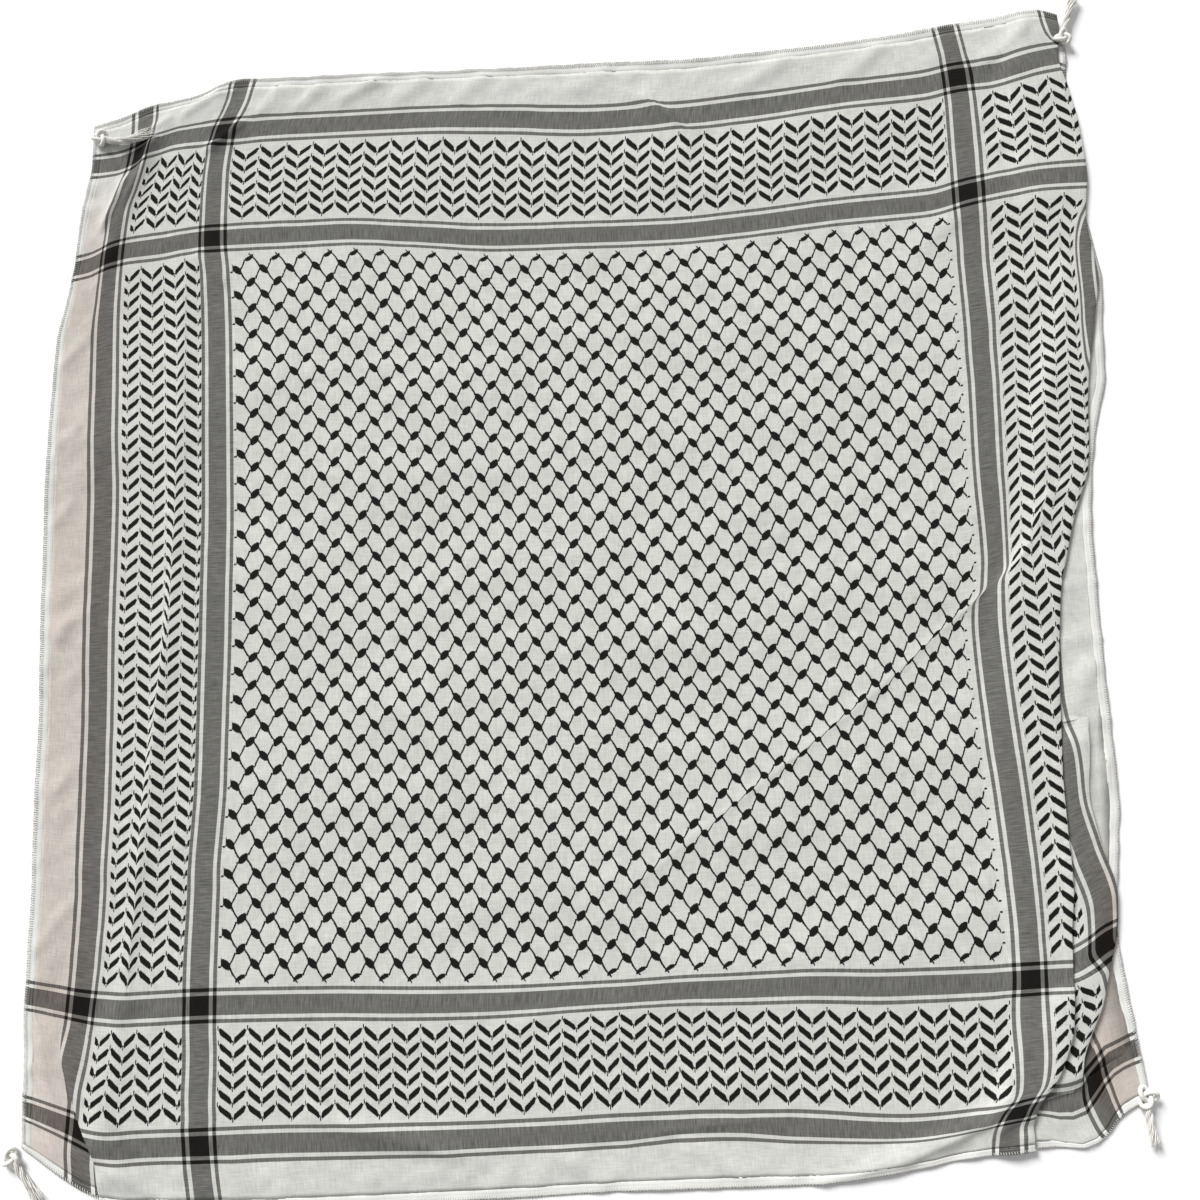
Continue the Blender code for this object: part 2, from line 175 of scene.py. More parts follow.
# Right side: x of the inner band; the long pleat's crest, as x and as u; the second fold's
# crest, in the same way, with the share of its slack that is folded; and x of the hem.
RIGHT = Sections(("v", "inner", "pleat_x", "pleat_u", "tuck_x", "tuck_u", "folded", "hem"), (
    (650, 440, 576, 594, 562, 628, 0, 584),
    (620, 446, 577, 590, 561, 628, 0, 583),
    (585, 450, 573, 559, 558, 628, 0, 580),
    (545, 452, 582, 562, 556, 628, 0, 578),
    (500, 452, 590, 564, 555, 628, 0, 577),
    (444, 450, 592, 566, 555, 628, 0, 577),
    (415, 449, 588, 567, 560, 628, 0, 582),
    (385, 449, 585, 580, 566, 628, 0, 588),
    (355, 448, 588, 597, 570, 628, 0, 592),
    (320, 448, 591, 604, 574, 628, 0, 596),
    (285, 448, 584, 595, 571, 628, 0, 593),
    (250, 447, 577, 584, 568, 628, 0, 590),
    (225, 447, 571, 575, 567, 628, 0, 589),
    (200, 446, 567, 566, 566, 628, 0, 588),
    (160, 444, 563, 562, 557, 628, 0, 579),
    (120, 442, 560, 561, 547, 628, 0, 569),
    (85, 441, 555, 562, 540, 628, 0, 562),
    (50, 441, 541, 562, 535, 628, 0, 557),
    (20, 440, 530, 557, 532, 628, 0, 554),
    (-10, 436, 521, 541, 530, 628, 0, 552),
    (-40, 430, 512, 525, 530, 628, 0, 552),
    (-80, 427, 507, 517, 529, 628, 0, 551),
    (-140, 428, 500, 510, 529, 628, 0, 551),
    (-200, 430, 496, 502, 525, 624, 1, 551),
    (-240, 433, 492, 498, 525, 616, 1, 551),
    (-300, 436, 491, 496, 519, 608, 1, 551),
    (-350, 437, 490, 496, 526, 605, 1, 546),
    (-400, 438, 484, 493, 537, 603, 1, 539),
    (-444, 438, 481, 490, 532, 601, 1, 534),
    (-470, 437, 480, 489, 520, 576, 1, 534),
    (-500, 436, 477, 487, 509, 565, 1, 536),
    (-530, 434, 466, 479, 494, 565, 1, 539),
    (-555, 429, 452, 472, 484, 566, 0.7, 542),
    (-585, 409, 434, 470, 481, 568, 0, 545),
    (-615, 399, 426, 470, 490, 570, 0, 548),
    (-650, 396, 425, 470, 502, 572, 0, 551),
))

# Front to back: y of the two hems and of the four bands that run across.
CROSS = Sections(("u", "far_hem", "far_outer", "far_inner", "near_inner", "near_outer", "near_hem"), (
    (-650, 580, 528, 398, -424, -538, -577),
    (-620, 588, 530, 404, -430, -549, -598),
    (-585, 602, 541, 414, -437, -563, -621),
    (-560, 607, 552, 420, -440, -577, -632),
    (-520, 613, 563, 424, -442, -582, -640),
    (-444, 635, 566, 433, -441, -582, -645),
    (-380, 635, 571, 434, -442, -582, -647),
    (-300, 636, 573, 434, -444, -583, -647),
    (-200, 637, 575, 426, -448, -585, -646),
    (-100, 638, 572, 419, -450, -586, -645),
    (0, 640, 566, 419, -448, -585, -643),
    (100, 641, 568, 420, -444, -582, -644),
    (200, 648, 576, 427, -444, -588, -644),
    (300, 657, 588, 438, -449, -595, -635),
    (400, 668, 597, 446, -450, -583, -624),
    (444, 674, 607, 459, -448, -573, -621),
    (490, 680, 611, 470, -447, -567, -617),
    (545, 687, 626, 475, -435, -561, -603),
    (567, 688, 629, 475, -424, -557, -595),
    (585, 683, 626, 475, -412, -546, -589),
    (610, 674, 616, 472, -402, -532, -582),
    (650, 656, 602, 464, -390, -520, -575),
))
CROSS_LINES = (EDGE, OUTER_BAND, INNER_BAND, -INNER_BAND, -OUTER_BAND, -EDGE)

# The soft pleats that squeeze the leaf columns: their place and the width that they hide.
LEFT_PLEAT = Sections(("v", "u", "hidden"), (
    (430, -480, 0),
    (300, -489, 6),
    (0, -503, 11),
    (-250, -526, 13),
    (-400, -525, 8),
    (-440, -525, 0),
))
# How far the right leaf columns are pushed outwards, towards the long pleat.
BULGE = Sections(("v", "push"), (
    (430, 0),
    (400, 3),
    (355, 12),
    (300, 13),
    (260, 9),
    (225, 5),
    (200, 0),
))
BULGE_START = 500.0
BULGE_END = 541.0
PLEAT_HALF = 10.0

# Where the cloth has crept from the place that its bands alone would give it, drawn by a fold
# or let down by one: the middle of each pull on the flat square, its reach along u and v, and
# its move in x and y.
PULLS = (
    (80, 0, 260, 900, -11, 0),
    (-390, 20, 100, 150, 4, 0),
    (-190, 10, 90, 130, 4, 0),
    (100, -495, 330, 65, -6, 0),
    (410, -500, 50, 60, -4, 0),
    (100, -405, 160, 40, 4, 0),
    (-514, -440, 55, 100, -6, 0),
    (260, 500, 230, 75, -4, 0),
    (-150, 440, 180, 130, -3, 0),
    (420, 20, 60, 160, 2, 0),
    (150, -40, 160, 170, 0, -9),
    (110, -340, 150, 110, 0, -6),
    (0, -500, 120, 50, 0, 8),
    (400, 80, 90, 110, 0, -6),
    (540, 265, 110, 90, 0, -17),
    (540, 480, 150, 90, 0, -5),
    (-460, 150, 150, 260, 0, -6),
    (440, -555, 110, 48, 0, -10),
    (50, 510, 400, 60, 0, -4),
    (-200, 395, 80, 45, 0, 4),
    (556, -625, 36, 48, 0, -22),
)

# Narrow tucks that run across the cloth: ends on the flat square, the width hidden at the
# start, in the middle and at the end, half the strip's width, how far the cloth is drawn in,
# and the height of the ridge.
TUCKS = (
    (-20, -362, 486, 9, 0, 11, 11, 12, 150, 1.1),
    (50, 624, 140, 552, 3, 6, 0, 6, 30, 1.2),
    (10, -592, 190, -578, 0, 8, 0, 9, 25, 1.2),
    (492, 34, 526, 78, 0, 6, 0, 6, 20, 1.5),
)

# The longest soft pleats of the upper layer: ends on the flat square, half width and height.
RIDGES = (
    (-486, 420, -497, 0, 16, 2.4),
    (-497, 0, -532, -420, 16, 2.8),
    (-532, -420, -545, -600, 16, 2.2),
    (-560, 610, -590, 430, 18, 3.0),
    (60, 620, 130, 540, 14, 2.0),
    (-330, -560, -150, -600, 16, 2.0),
    (250, -640, 430, -570, 16, 3.0),
)

# Creases by form: ends on the table, half width and height.
CREASES = {
    CreaseForm.SHARP: (
        (-552, 512, -578, 448, 5, 4.0),
        (-520, 562, -553, 480, 6, 3.0),
        (-410, 582, -458, 543, 5, 3.2),
        (-468, 414, -434, 374, 5, 2.6),
        (-395, 588, -368, 624, 5, 2.4),
        (-350, 592, -322, 622, 5, 2.2),
        (-302, 598, -252, 628, 6, 2.2),
        (-486, 590, -440, 622, 6, 2.2),
        (-540, 560, -500, 590, 5, 2.2),
        (33, 608, 140, 545, 6, 1.8),
        (-292, -568, -180, -600, 7, 2.0),
        (384, -588, 290, -624, 7, 3.0),
        (290, -624, 196, -642, 7, 2.2),
        (396, -560, 420, -590, 6, 2.4),
        (388, -596, 432, -566, 6, 2.0),
        (410, -600, 440, -612, 7, 1.6),
        (488, 46, 504, 64, 5, 2.2),
        (544, -214, 522, -282, 7, 1.8),
        (505, -23, 556, -20, 4, 1.0),
        (508, -85, 556, -82, 4, 1.2),
        (512, -176, 553, -172, 4, 1.0),
        (-588, 318, -622, 278, 6, 1.6),
        (-596, 210, -626, 176, 6, 1.2),
        (-598, -16, -616, -44, 6, 1.4),
        (-600, 120, -628, 84, 7, 1.2),
        (-592, -180, -622, -230, 8, 1.4),
        (-590, -330, -626, -380, 8, 1.6),
        (-600, -455, -628, -500, 8, 1.8),
    ),
    CreaseForm.SOFT: (
        (540, -108, 510, -166, 10, 1.8),
        (-540, -600, -470, -640, 8, 2.0),
        (-420, -590, -360, -636, 9, 1.6),
        (-80, -600, -20, -636, 9, 1.6),
        (60, -598, 120, -632, 9, 1.8),
        (-230, 600, -190, 632, 10, 1.8),
        (-160, 596, -118, 632, 10, 1.8),
        (-20, 604, 30, 634, 10, 1.6),
        (180, 600, 250, 640, 10, 1.8),
        (300, 600, 360, 650, 10, 1.6),
        (480, 620, 540, 670, 9, 2.0),
        (440, 430, 380, 380, 12, 1.2),
        (-300, 330, -120, 120, 22, 1.6),
        (-60, 330, 180, 60, 26, 1.8),
        (-380, 60, -180, -200, 24, 1.6),
        (-240, -120, 20, -400, 26, 1.8),
        (120, 380, 380, 160, 24, 1.4),
        (60, -40, 330, -320, 26, 1.6),
    ),
}

# Corners: x and y of the knot, the height of what it rests on, x and y of the tassel's bend
# and of its end, the knot's loop size, and how far the tassel's end is spread.
CORNERS = (
    ("top_left", -583, 561, 1.6, -553, 550, -523, 569, 2.9, 5.6),
    ("top_right", 580, 650, 1.6, 586, 676, 600, 706, 3.0, 4.6),
    ("bottom_right", 545, -569, 1.6, 544, -592, 549, -617, 3.6, 3.6),
    ("bottom_left", -642, -585, 0.0, -630, -603, -611, -629, 2.9, 4.0),
)


def smooth_step(x: Array) -> Array:
    """Return 0 below 0, 1 above 1 and a smooth rise between."""
    t = np.clip(x, 0.0, 1.0)
    return t * t * (3.0 - 2.0 * t)


def fold_step(past: Array, hidden: Array) -> tuple[Array, Array]:
    """Return the shift and the lift of the cloth along one Z-fold.

    The section is two quarter-circle turns of half a layer's pitch, with a straight layer
    between them. A fold that hides little is a soft step instead.

    Args:
        past: flat distance past the crest.
        hidden: width that the fold hides.

    Returns:
        The shift towards the fold and the lift above the surface.
    """
    radius = PITCH / 2
    turn = math.pi * radius / 2
    half = np.maximum(hidden / 2, 2 * turn)
    crest = np.clip(past / turn, -1, 1) * math.pi / 2
    valley = np.clip((past - half) / turn, -1, 1) * math.pi / 2
    back = np.clip(past, turn, half - turn) - turn
    ahead = np.maximum(past - half - turn, 0.0)
    before = np.minimum(past + turn, 0.0)
    place = before + radius * (np.cos(crest) - 1) - back - radius * np.cos(valley) + ahead
    folded = place + radius - past
    lift = 2 * PITCH - radius * (1 + np.sin(crest)) - radius * (1 + np.sin(valley))
    reach = np.maximum(2.0 * hidden, SOFT_REACH)
    soft = smooth_step((past + 0.25 * reach) / reach)
    share = smooth_step((hidden - SOFT_HIDDEN) / SOFT_HIDDEN)
    strength = smooth_step(hidden / SOFT_HIDDEN)
    shift = -(1 - share) * hidden * soft + share * (folded - radius)
    return shift, strength * ((1 - share) * 2 * PITCH * (1 - soft) + share * lift)


def crept(u: Array, v: Array) -> tuple[Array, Array]:
    """Add up the pulls, each a bell round its middle.

    Args:
        u: places on the flat square.
        v: places on the flat square.

    Returns:
        The move in x and in y.
    """
    move_x, move_y = np.zeros(np.shape(u)), np.zeros(np.shape(u))
    for middle_u, middle_v, reach_u, reach_v, x, y in PULLS:
        bell = np.exp(-((u - middle_u) / reach_u) ** 2 - ((v - middle_v) / reach_v) ** 2)
        move_x += x * bell
        move_y += y * bell
    return move_x, move_y


def along_line(x: Array, y: Array, ends: tuple[float, ...]) -> tuple[Array, Array, Array]:
    """Return where points are beside a line.

    Args:
        x: first coordinates.
        y: second coordinates.
        ends: x0, y0, x1 and y1 of the line.

    Returns:
        The share along it, the distance to its right, and a weight that fades at its ends.
    """
    x0, y0, x1, y1 = ends
    run_x, run_y = x1 - x0, y1 - y0
    length = math.hypot(run_x, run_y)
    share = ((x - x0) * run_x + (y - y0) * run_y) / length ** 2
    across = ((x - x0) * run_y - (y - y0) * run_x) / length
    return share, across, smooth_step(share * 4 + 0.5) * smooth_step((1 - share) * 4 + 0.5)


@dataclass(frozen=True)
class Lie:
    """How the flat square lies on the table."""

    swell_waves: int = 26
    swell_height: float = 0.95
    swell_lengths: tuple[float, float] = (240.0, 70.0)
    crinkle_waves: int = 40
    crinkle_height: float = 0.26
    crinkle_lengths: tuple[float, float] = (48.0, 20.0)
    least_lift: float = 0.8
    full_tuck: float = 6.0
    tuck_stations: tuple[float, ...] = (0.0, 0.3, 0.7, 1.0)
    crease_gain: float = 1.5
    crease_reach: float = 12.0
    shoulder: float = 1.6
    margin_gain: float = 2.4
    margin_start: float = 596.0
    margin_ramp: float = 24.0
    seed: int = 11

    def left_fold(self, v: Array) -> tuple[Array, Array]:
        """Return the crest and the hidden width of the lower left fold."""
        return LEFT.read("crest_u", v), LEFT.read("hidden", v)

    def right_folds(self, v: Array) -> tuple[dict[str, Array], Array, Array, Array]:
        """Return the right side's sections and what its pleat and its tuck hide.

        Args:
            v: places along the right side.

        Returns:
            The sections, the pleat's hidden width, the tuck's, and the slack that is gathered.
        """
        value = {name: RIGHT.read(name, v) for name in RIGHT.columns[1:]}
        upper = value["pleat_x"] - value["pleat_u"]
        middle = value["tuck_x"] - value["tuck_u"]
        slack = np.maximum(middle - (value["hem"] - EDGE), 0.0)
        tuck_hidden = slack * value["folded"]
        return value, upper - middle, tuck_hidden, slack - tuck_hidden

    def squeezed(self, u: Array, v: Array) -> Array:
        """Move u as the soft pleat in the left leaf columns does, which draws both sides in.

        Args:
            u: places on the flat square.
            v: places along the pleat.

        Returns:
            The places as if the cloth between the two left bands were evenly spread.
        """
        hidden = LEFT_PLEAT.read("hidden", v)
        step = smooth_step((u - LEFT_PLEAT.read("u", v)) / (2 * PLEAT_HALF) + 0.5)
        moved = u - hidden * (step - (u + OUTER_BAND) / (OUTER_BAND - INNER_BAND))
        return np.where((u > -OUTER_BAND) & (u < -INNER_BAND), moved, u)

    def across(self, u: Array, v: Array) -> tuple[Array, Array]:
        """Lay the cloth from left to right.

        Args:
            u: places on the flat square.
            v: places on the flat square.

        Returns:
            x on the table and the lift of the folded layers.
        """
        crest, hidden = self.left_fold(v)
        hem = LEFT.read("hem", v) - hidden
        outer = LEFT.read("outer", v)
        inner = LEFT.read("inner", v)
        value, pleat_hidden, tuck_hidden, gathered = self.right_folds(v)
        left_u = self.squeezed(u, v)
        push = BULGE.read("push", v) * smooth_step((u - INNER_BAND) / (BULGE_START - INNER_BAND))
        push = push * smooth_step((value["pleat_u"] - u) / (value["pleat_u"] - BULGE_END))

        straight = FAR_RIGHT_X + (NEAR_RIGHT_X - FAR_RIGHT_X) * (EDGE - v) / (2 * EDGE)
        local = (value["inner"] - straight) * smooth_step(1 - (INNER_BAND - u) / LOCAL_REACH)
        x = inner + (straight - inner) * (u + INNER_BAND) / (2 * INNER_BAND) + local
        leaf = outer + (inner - outer) * (left_u + OUTER_BAND) / (OUTER_BAND - INNER_BAND)
        x = np.where(u < -INNER_BAND, leaf, x)
        x = np.where(u < -OUTER_BAND, hem + (outer - hem) * (u + EDGE) / (EDGE - OUTER_BAND), x)
        upper = value["inner"] + (value["pleat_x"] - value["inner"]) * (
            (u - INNER_BAND) / (value["pleat_u"] - INNER_BAND))
        x = np.where(u > INNER_BAND, upper + push, x)
        gather = gathered / (EDGE - value["tuck_u"] - tuck_hidden)
        under = value["pleat_x"] + u - value["pleat_u"] - gather * np.maximum(
            u - value["tuck_u"] - tuck_hidden, 0.0)
        x = np.where(u > value["pleat_u"], under, x)

        left_shift, left_lift = fold_step(crest - u, hidden)
        pleat_shift, pleat_lift = fold_step(u - value["pleat_u"], pleat_hidden)
        tuck_shift, tuck_lift = fold_step(u - value["tuck_u"], tuck_hidden)
        x = x - left_shift + pleat_shift + tuck_shift

        span = RAMP_REACH - RAMP_LEVEL
        left_valley = inner + (crest + INNER_BAND) + hidden / 2
        left_ramp = smooth_step((left_valley + RAMP_REACH - x) / span)
        pleat_ramp = smooth_step((x - value["pleat_x"] + pleat_hidden / 2 + RAMP_REACH) / span)
        tuck_ramp = smooth_step((x - value["tuck_x"] + tuck_hidden / 2 + RAMP_REACH) / span)
        lift = (np.where(u > crest, left_ramp, 1.0) * left_lift
                + np.where(u < value["pleat_u"], pleat_ramp, 1.0) * pleat_lift
                + np.where(u < value["tuck_u"], tuck_ramp, 1.0) * tuck_lift)
        return x, lift

    def along(self, u: Array, v: Array) -> Array:
        """Lay the cloth from front to back, in straight lines between its bands.

        Args:
            u: places on the flat square.
            v: places on the flat square.

        Returns:
            y on the table.
        """
        lines = [CROSS.read(name, u) for name in CROSS.columns[1:]]
        y = lines[0]
        for far, near, far_y, near_y in zip(CROSS_LINES, CROSS_LINES[1:], lines, lines[1:]):
            y = np.where(v < far, near_y + (far_y - near_y) * (v - near) / (far - near), y)
        return y

    def tucked(self, u: Array, v: Array) -> tuple[Array, Array, Array]:
        """Return the shift and the lift that the narrow tucks give.

        Beside a tuck the cloth is drawn in by half of what it hides, less and less with the
        distance. In the strip itself the shift changes sides, which squeezes the pattern.

        Args:
            u: places on the flat square.
            v: places on the flat square.

        Returns:
            The shift in x, the shift in y and the lift.
        """
        shift_x, shift_y, lift = (np.zeros(np.shape(u)) for _ in range(3))
        for row in TUCKS:
            u0, v0, u1, v1, start, middle, end, half, reach, height = row
            share, right, fade = along_line(u, v, (u0, v0, u1, v1))
            hidden = fade * np.interp(share, self.tuck_stations, (start, middle, middle, end))
            side = 2 * smooth_step(right / (2 * half) + 0.5) - 1
            pull = -0.5 * hidden * side * np.exp(-np.abs(right) / reach)
            length = math.hypot(u1 - u0, v1 - v0)
            shift_x += pull * (v1 - v0) / length
            shift_y -= pull * (u1 - u0) / length
            fullness = np.minimum(hidden / self.full_tuck, 1.0)
            lift += height * fullness * np.exp(-(right / (0.7 * half)) ** 2)
        return shift_x, shift_y, lift

    def ridges(self, u: Array, v: Array) -> Array:
        """Return the lift of the soft pleats, each a bell across its line.

        Args:
            u: places on the flat square.
            v: places on the flat square.

        Returns:
            The lift, in millimetres.
        """
        total = np.zeros(np.shape(u))
        for u0, v0, u1, v1, width, height in RIDGES:
            _, across, fade = along_line(u, v, (u0, v0, u1, v1))
            total += height * fade * np.exp(-(across / width) ** 2)
        return total

    def creases(self, x: Array, y: Array) -> Array:
        """Return the lift of the creases.

        A soft one is a bell. A sharp one falls away from its line as one over the square of
        the distance, so it has a narrow top and long shoulders.

        Args:
            x: places on the table.
            y: places on the table.

        Returns:
            The lift, in millimetres.
        """
        total = np.zeros(np.shape(x))
        for form, rows in CREASES.items():
            for x0, y0, x1, y1, width, height in rows:
                _, across, fade = along_line(x, y, (x0, y0, x1, y1))
                near = (across / width) ** 2
                soft = form is CreaseForm.SOFT
                bell = np.exp(-near) if soft else 1.0 / (1.0 + self.shoulder * near)
                total += height * fade * bell * (np.abs(across) < self.crease_reach * width)
        return self.crease_gain * total

    def waves(self, x: Array, y: Array, count: int, lengths: tuple[float, float]) -> Array:
        """Add up plane waves of seeded random length and direction.

        Args:
            x: places on the table.
            y: places on the table.
            count: how many waves there are.
            lengths: the longest and the shortest.

        Returns:
            Their sum, about 1 high.
        """
        longest, shortest = lengths
        random = np.random.default_rng(self.seed + count)
        total = np.zeros(np.shape(x))
        for _ in range(count):
            length = longest * (shortest / longest) ** random.random()
            angle, phase = random.random(2) * 2 * math.pi
            place = (x * math.cos(angle) + y * math.sin(angle)) / length
            total += np.sin(2 * math.pi * place + phase) * (length / longest) ** 0.7
        return total / math.sqrt(count / 2)

    def relief(self, x: Array, y: Array, margin: Array) -> Array:
        """Return how far the cloth's own unevenness lifts it, which is never below nothing.

        Args:
            x: places on the table.
            y: places on the table.
            margin: 1 in the loose margins outside the bands, 0 inside them.

        Returns:
            The lift, in millimetres.
        """
        swell = self.swell_height * self.waves(x, y, self.swell_waves, self.swell_lengths)
        crinkle = self.crinkle_height * self.waves(x, y, self.crinkle_waves, self.crinkle_lengths)
        gain = 1.0 + (self.margin_gain - 1.0) * margin
        rough = swell + crinkle * gain + self.least_lift
        return 0.5 * (rough + np.sqrt(rough ** 2 + (0.5 * self.least_lift) ** 2))

    def lay(self, u: Array, v: Array) -> Array:
        """Turn places on the flat square into places in the model's frame.

        Args:
            u: places to the right of the middle, in millimetres.
            v: places beyond the middle, in millimetres.

        Returns:
            Points of the cloth's underside, in millimetres, in the last axis.
        """
        x, lift = self.across(u, v)
        y = self.along(u, v)
        shift_x, shift_y, ridge = self.tucked(u, v)
        creep_x, creep_y = crept(u, v)
        x = x + creep_x + shift_x
        y = y + creep_y + shift_y
        edge = np.maximum(np.abs(u), np.abs(v))
        margin = smooth_step((edge - self.margin_start) / self.margin_ramp)
        z = lift + ridge + self.ridges(u, v) + self.creases(x, y) + self.relief(x, y, margin)
        return np.stack((x - MIDDLE_X, y - MIDDLE_Y, z), axis=-1)


@dataclass(frozen=True)
class ClothGrid:
    """The lines of the cloth's mesh on the flat square, closer where it folds."""

    lie: Lie
    row_stops: tuple[float, ...] = (-420.0, 410.0)
    row_cells: tuple[int, ...] = (46, 124, 46)
    # Columns of a fold that hides nothing are spread evenly between these places.
    left_spread: tuple[float, float] = (-632.0, -548.0)
    right_spread: float = 636.0
    # Columns in the leaf zones and the middle field: where zones meet, and cells in each.
    stops: tuple[float, ...] = (-497.0, -425.0, 400.0)
    cells: tuple[int, ...] = (10, 16, 112, 8, 10, 4)

    def fold_places(self, crest: Array, hidden: Array, way: Turn) -> list[Array]:
        """Find mesh places that follow one fold's two turns.

        Args:
            crest: the fold's crest.
            hidden: the width that it hides.
            way: which way the hidden layer goes.

        Returns:
            The places, in order from its visible side.
        """
        turn = math.pi * PITCH / 4
        half = np.maximum(hidden / 2, 2 * turn + 1.0)
        first = [-4.0 * turn, -turn, -turn / 2, 0.0, turn / 2, turn]
        second = [half - turn, half - turn / 2, half, half + turn / 2, half + turn]
        return [crest + way.value * (step + np.zeros_like(crest)) for step in first + second]

    def columns(self, v: Array) -> Array:
        """Return the places of the mesh columns for each row.

        Args:
            v: the rows.

        Returns:
            One row of rising u for each v, from the left hem's seam to the right one's.
        """
        crest, hidden = self.lie.left_fold(v)
        value, pleat_hidden, tuck_hidden, _ = self.lie.right_folds(v)
        flat = np.ones_like(v)
        hem = EDGE - HEM_WIDTH

        left = self.fold_places(crest, hidden, Turn.LEFTWARDS)[::-1]
        even = np.linspace(*self.left_spread, len(left))
        share = smooth_step(hidden / 2.0)
        left = [share * a + (1 - share) * b for a, b in zip(left, even)]
        pleat = self.fold_places(value["pleat_u"], pleat_hidden, Turn.RIGHTWARDS)
        tuck = self.fold_places(value["tuck_u"], tuck_hidden, Turn.RIGHTWARDS)
        share = smooth_step(tuck_hidden / 2.0)
        even = [pleat[-1] + 2.0 + (self.right_spread - pleat[-1]) * t for t in np.linspace(0, 1, len(tuck))]
        tuck = [share * a + (1 - share) * b for a, b in zip(tuck, even)]
        rise = value["pleat_u"] - pleat_hidden / 2
        ramp = [np.minimum(rise - RAMP_REACH, pleat[0] - 6.0), np.minimum(rise - RAMP_LEVEL, pleat[0] - 2.0)]
        ramp = [np.maximum(place, self.stops[-1] + room) for place, room in zip(ramp, (4.0, 8.0))]

        anchors = [-hem * flat, *left, *(stop * flat for stop in self.stops), *ramp, *pleat,
                   0.5 * (pleat[-1] + tuck[0]), *tuck, hem * flat]
        cells = [3, *[2] * (len(left) - 1), *self.cells, *[1] * (len(pleat) - 1), 5, 5,
                 *[1] * (len(tuck) - 1), 2]
        parts = [a[:, None] + (b - a)[:, None] * np.arange(n) / n
                 for a, b, n in zip(anchors, anchors[1:], cells)]
        return np.concatenate([*parts, anchors[-1][:, None]], axis=1)

    def rows(self) -> Array:
        """Return the mesh rows.

        Returns:
            Rising v, from the near hem's seam to the far one's.
        """
        hem = EDGE - HEM_WIDTH
        stops = (-hem, *self.row_stops, hem)
        parts = [np.linspace(a, b, n + 1)[:-1] for a, b, n in zip(stops, stops[1:], self.row_cells)]
        return np.concatenate([*parts, [hem]])


def grid_faces(rows: int, columns: int, round_rows: bool = False) -> Array:
    """Return the quads of a grid of points.

    Args:
        rows: points along the first axis.
        columns: points along the second axis.
        round_rows: whether the second axis closes on itself.

    Returns:
        Four point numbers for each face.
    """
    index = np.arange(rows * columns).reshape(rows, columns)
    if round_rows:
        index = np.concatenate((index, index[:, :1]), axis=1)
    a, b, c, d = index[:-1, :-1], index[:-1, 1:], index[1:, 1:], index[1:, :-1]
    return np.stack((a, b, c, d), axis=-1).reshape(-1, 4)


def new_piece(name: str, points: Array, faces: Array, uv: Array | None = None) -> bpy.types.Object:
    """Make an object at the origin from points in metres.

    Args:
        name: the piece's name.
        points: one row for each point.
        faces: one row of point numbers for each face.
        uv: a place on the map for each point, or nothing.

    Returns:
        The new object, in the scene and shaded smooth.
    """
    mesh = bpy.data.meshes.new(name)
    mesh.from_pydata(points.reshape(-1, 3).tolist(), [], faces.tolist())
    if uv is not None:
        layer = mesh.uv_layers.new(name=UV_MAP)
        corner = np.zeros(len(mesh.loops), dtype=np.int32)
        mesh.loops.foreach_get("vertex_index", corner)
        layer.uv.foreach_set("vector", uv.reshape(-1, 2)[corner].astype(np.float32).ravel())
    mesh.shade_smooth()
    piece = bpy.data.objects.new(name, mesh)
    bpy.context.scene.collection.objects.link(piece)
    return piece


def tube_rings(path: Array, radius: Array, sides: int) -> Array:
    """Carry a round section along many paths at once.

    The section's own axes come from the path's direction and from straight up, which suits
    cords that lie flat.

    Args:
        path: points, as (..., steps, 3).
        radius: section radius, as (..., steps) or (..., steps, sides).
        sides: points round the section.

    Returns:
        Points, as (..., steps, sides, 3).
    """
    along = np.gradient(path, axis=-2)
    along /= np.maximum(np.linalg.norm(along, axis=-1, keepdims=True), 1e-12)
    side = np.cross(along, (0.0, 0.0, 1.0))
    side /= np.maximum(np.linalg.norm(side, axis=-1, keepdims=True), 1e-12)
    up = np.cross(side, along)
    angle = np.arange(sides) * 2 * math.pi / sides
    radius = radius[..., None] if np.ndim(radius) == np.ndim(path) - 1 else radius
    ring = np.cos(angle)[..., None] * side[..., None, :] + np.sin(angle)[..., None] * up[..., None, :]
    return path[..., None, :] + radius[..., None] * ring


def tube_faces(count: int, steps: int, sides: int) -> Array:
    """Return the outward faces of many equal tubes, each closed by quads at both ends.

    Args:
        count: how many tubes there are.
        steps: rings of each tube.
        sides: points of each ring, an even number.

    Returns:
        Four point numbers for each face.
    """
    wall = grid_faces(steps, sides, round_rows=True)[:, ::-1]
    start = np.array([(0, k, k + 1, k + 2) for k in range(1, sides - 1, 2)])
    end = start[:, ::-1] + (steps - 1) * sides
    faces = np.concatenate((wall, start, end))
    offset = np.arange(count)[:, None, None] * steps * sides
    return (faces[None] + offset).reshape(-1, 4)


# ---------------------------------------------------------------------------------------------
# Finishes

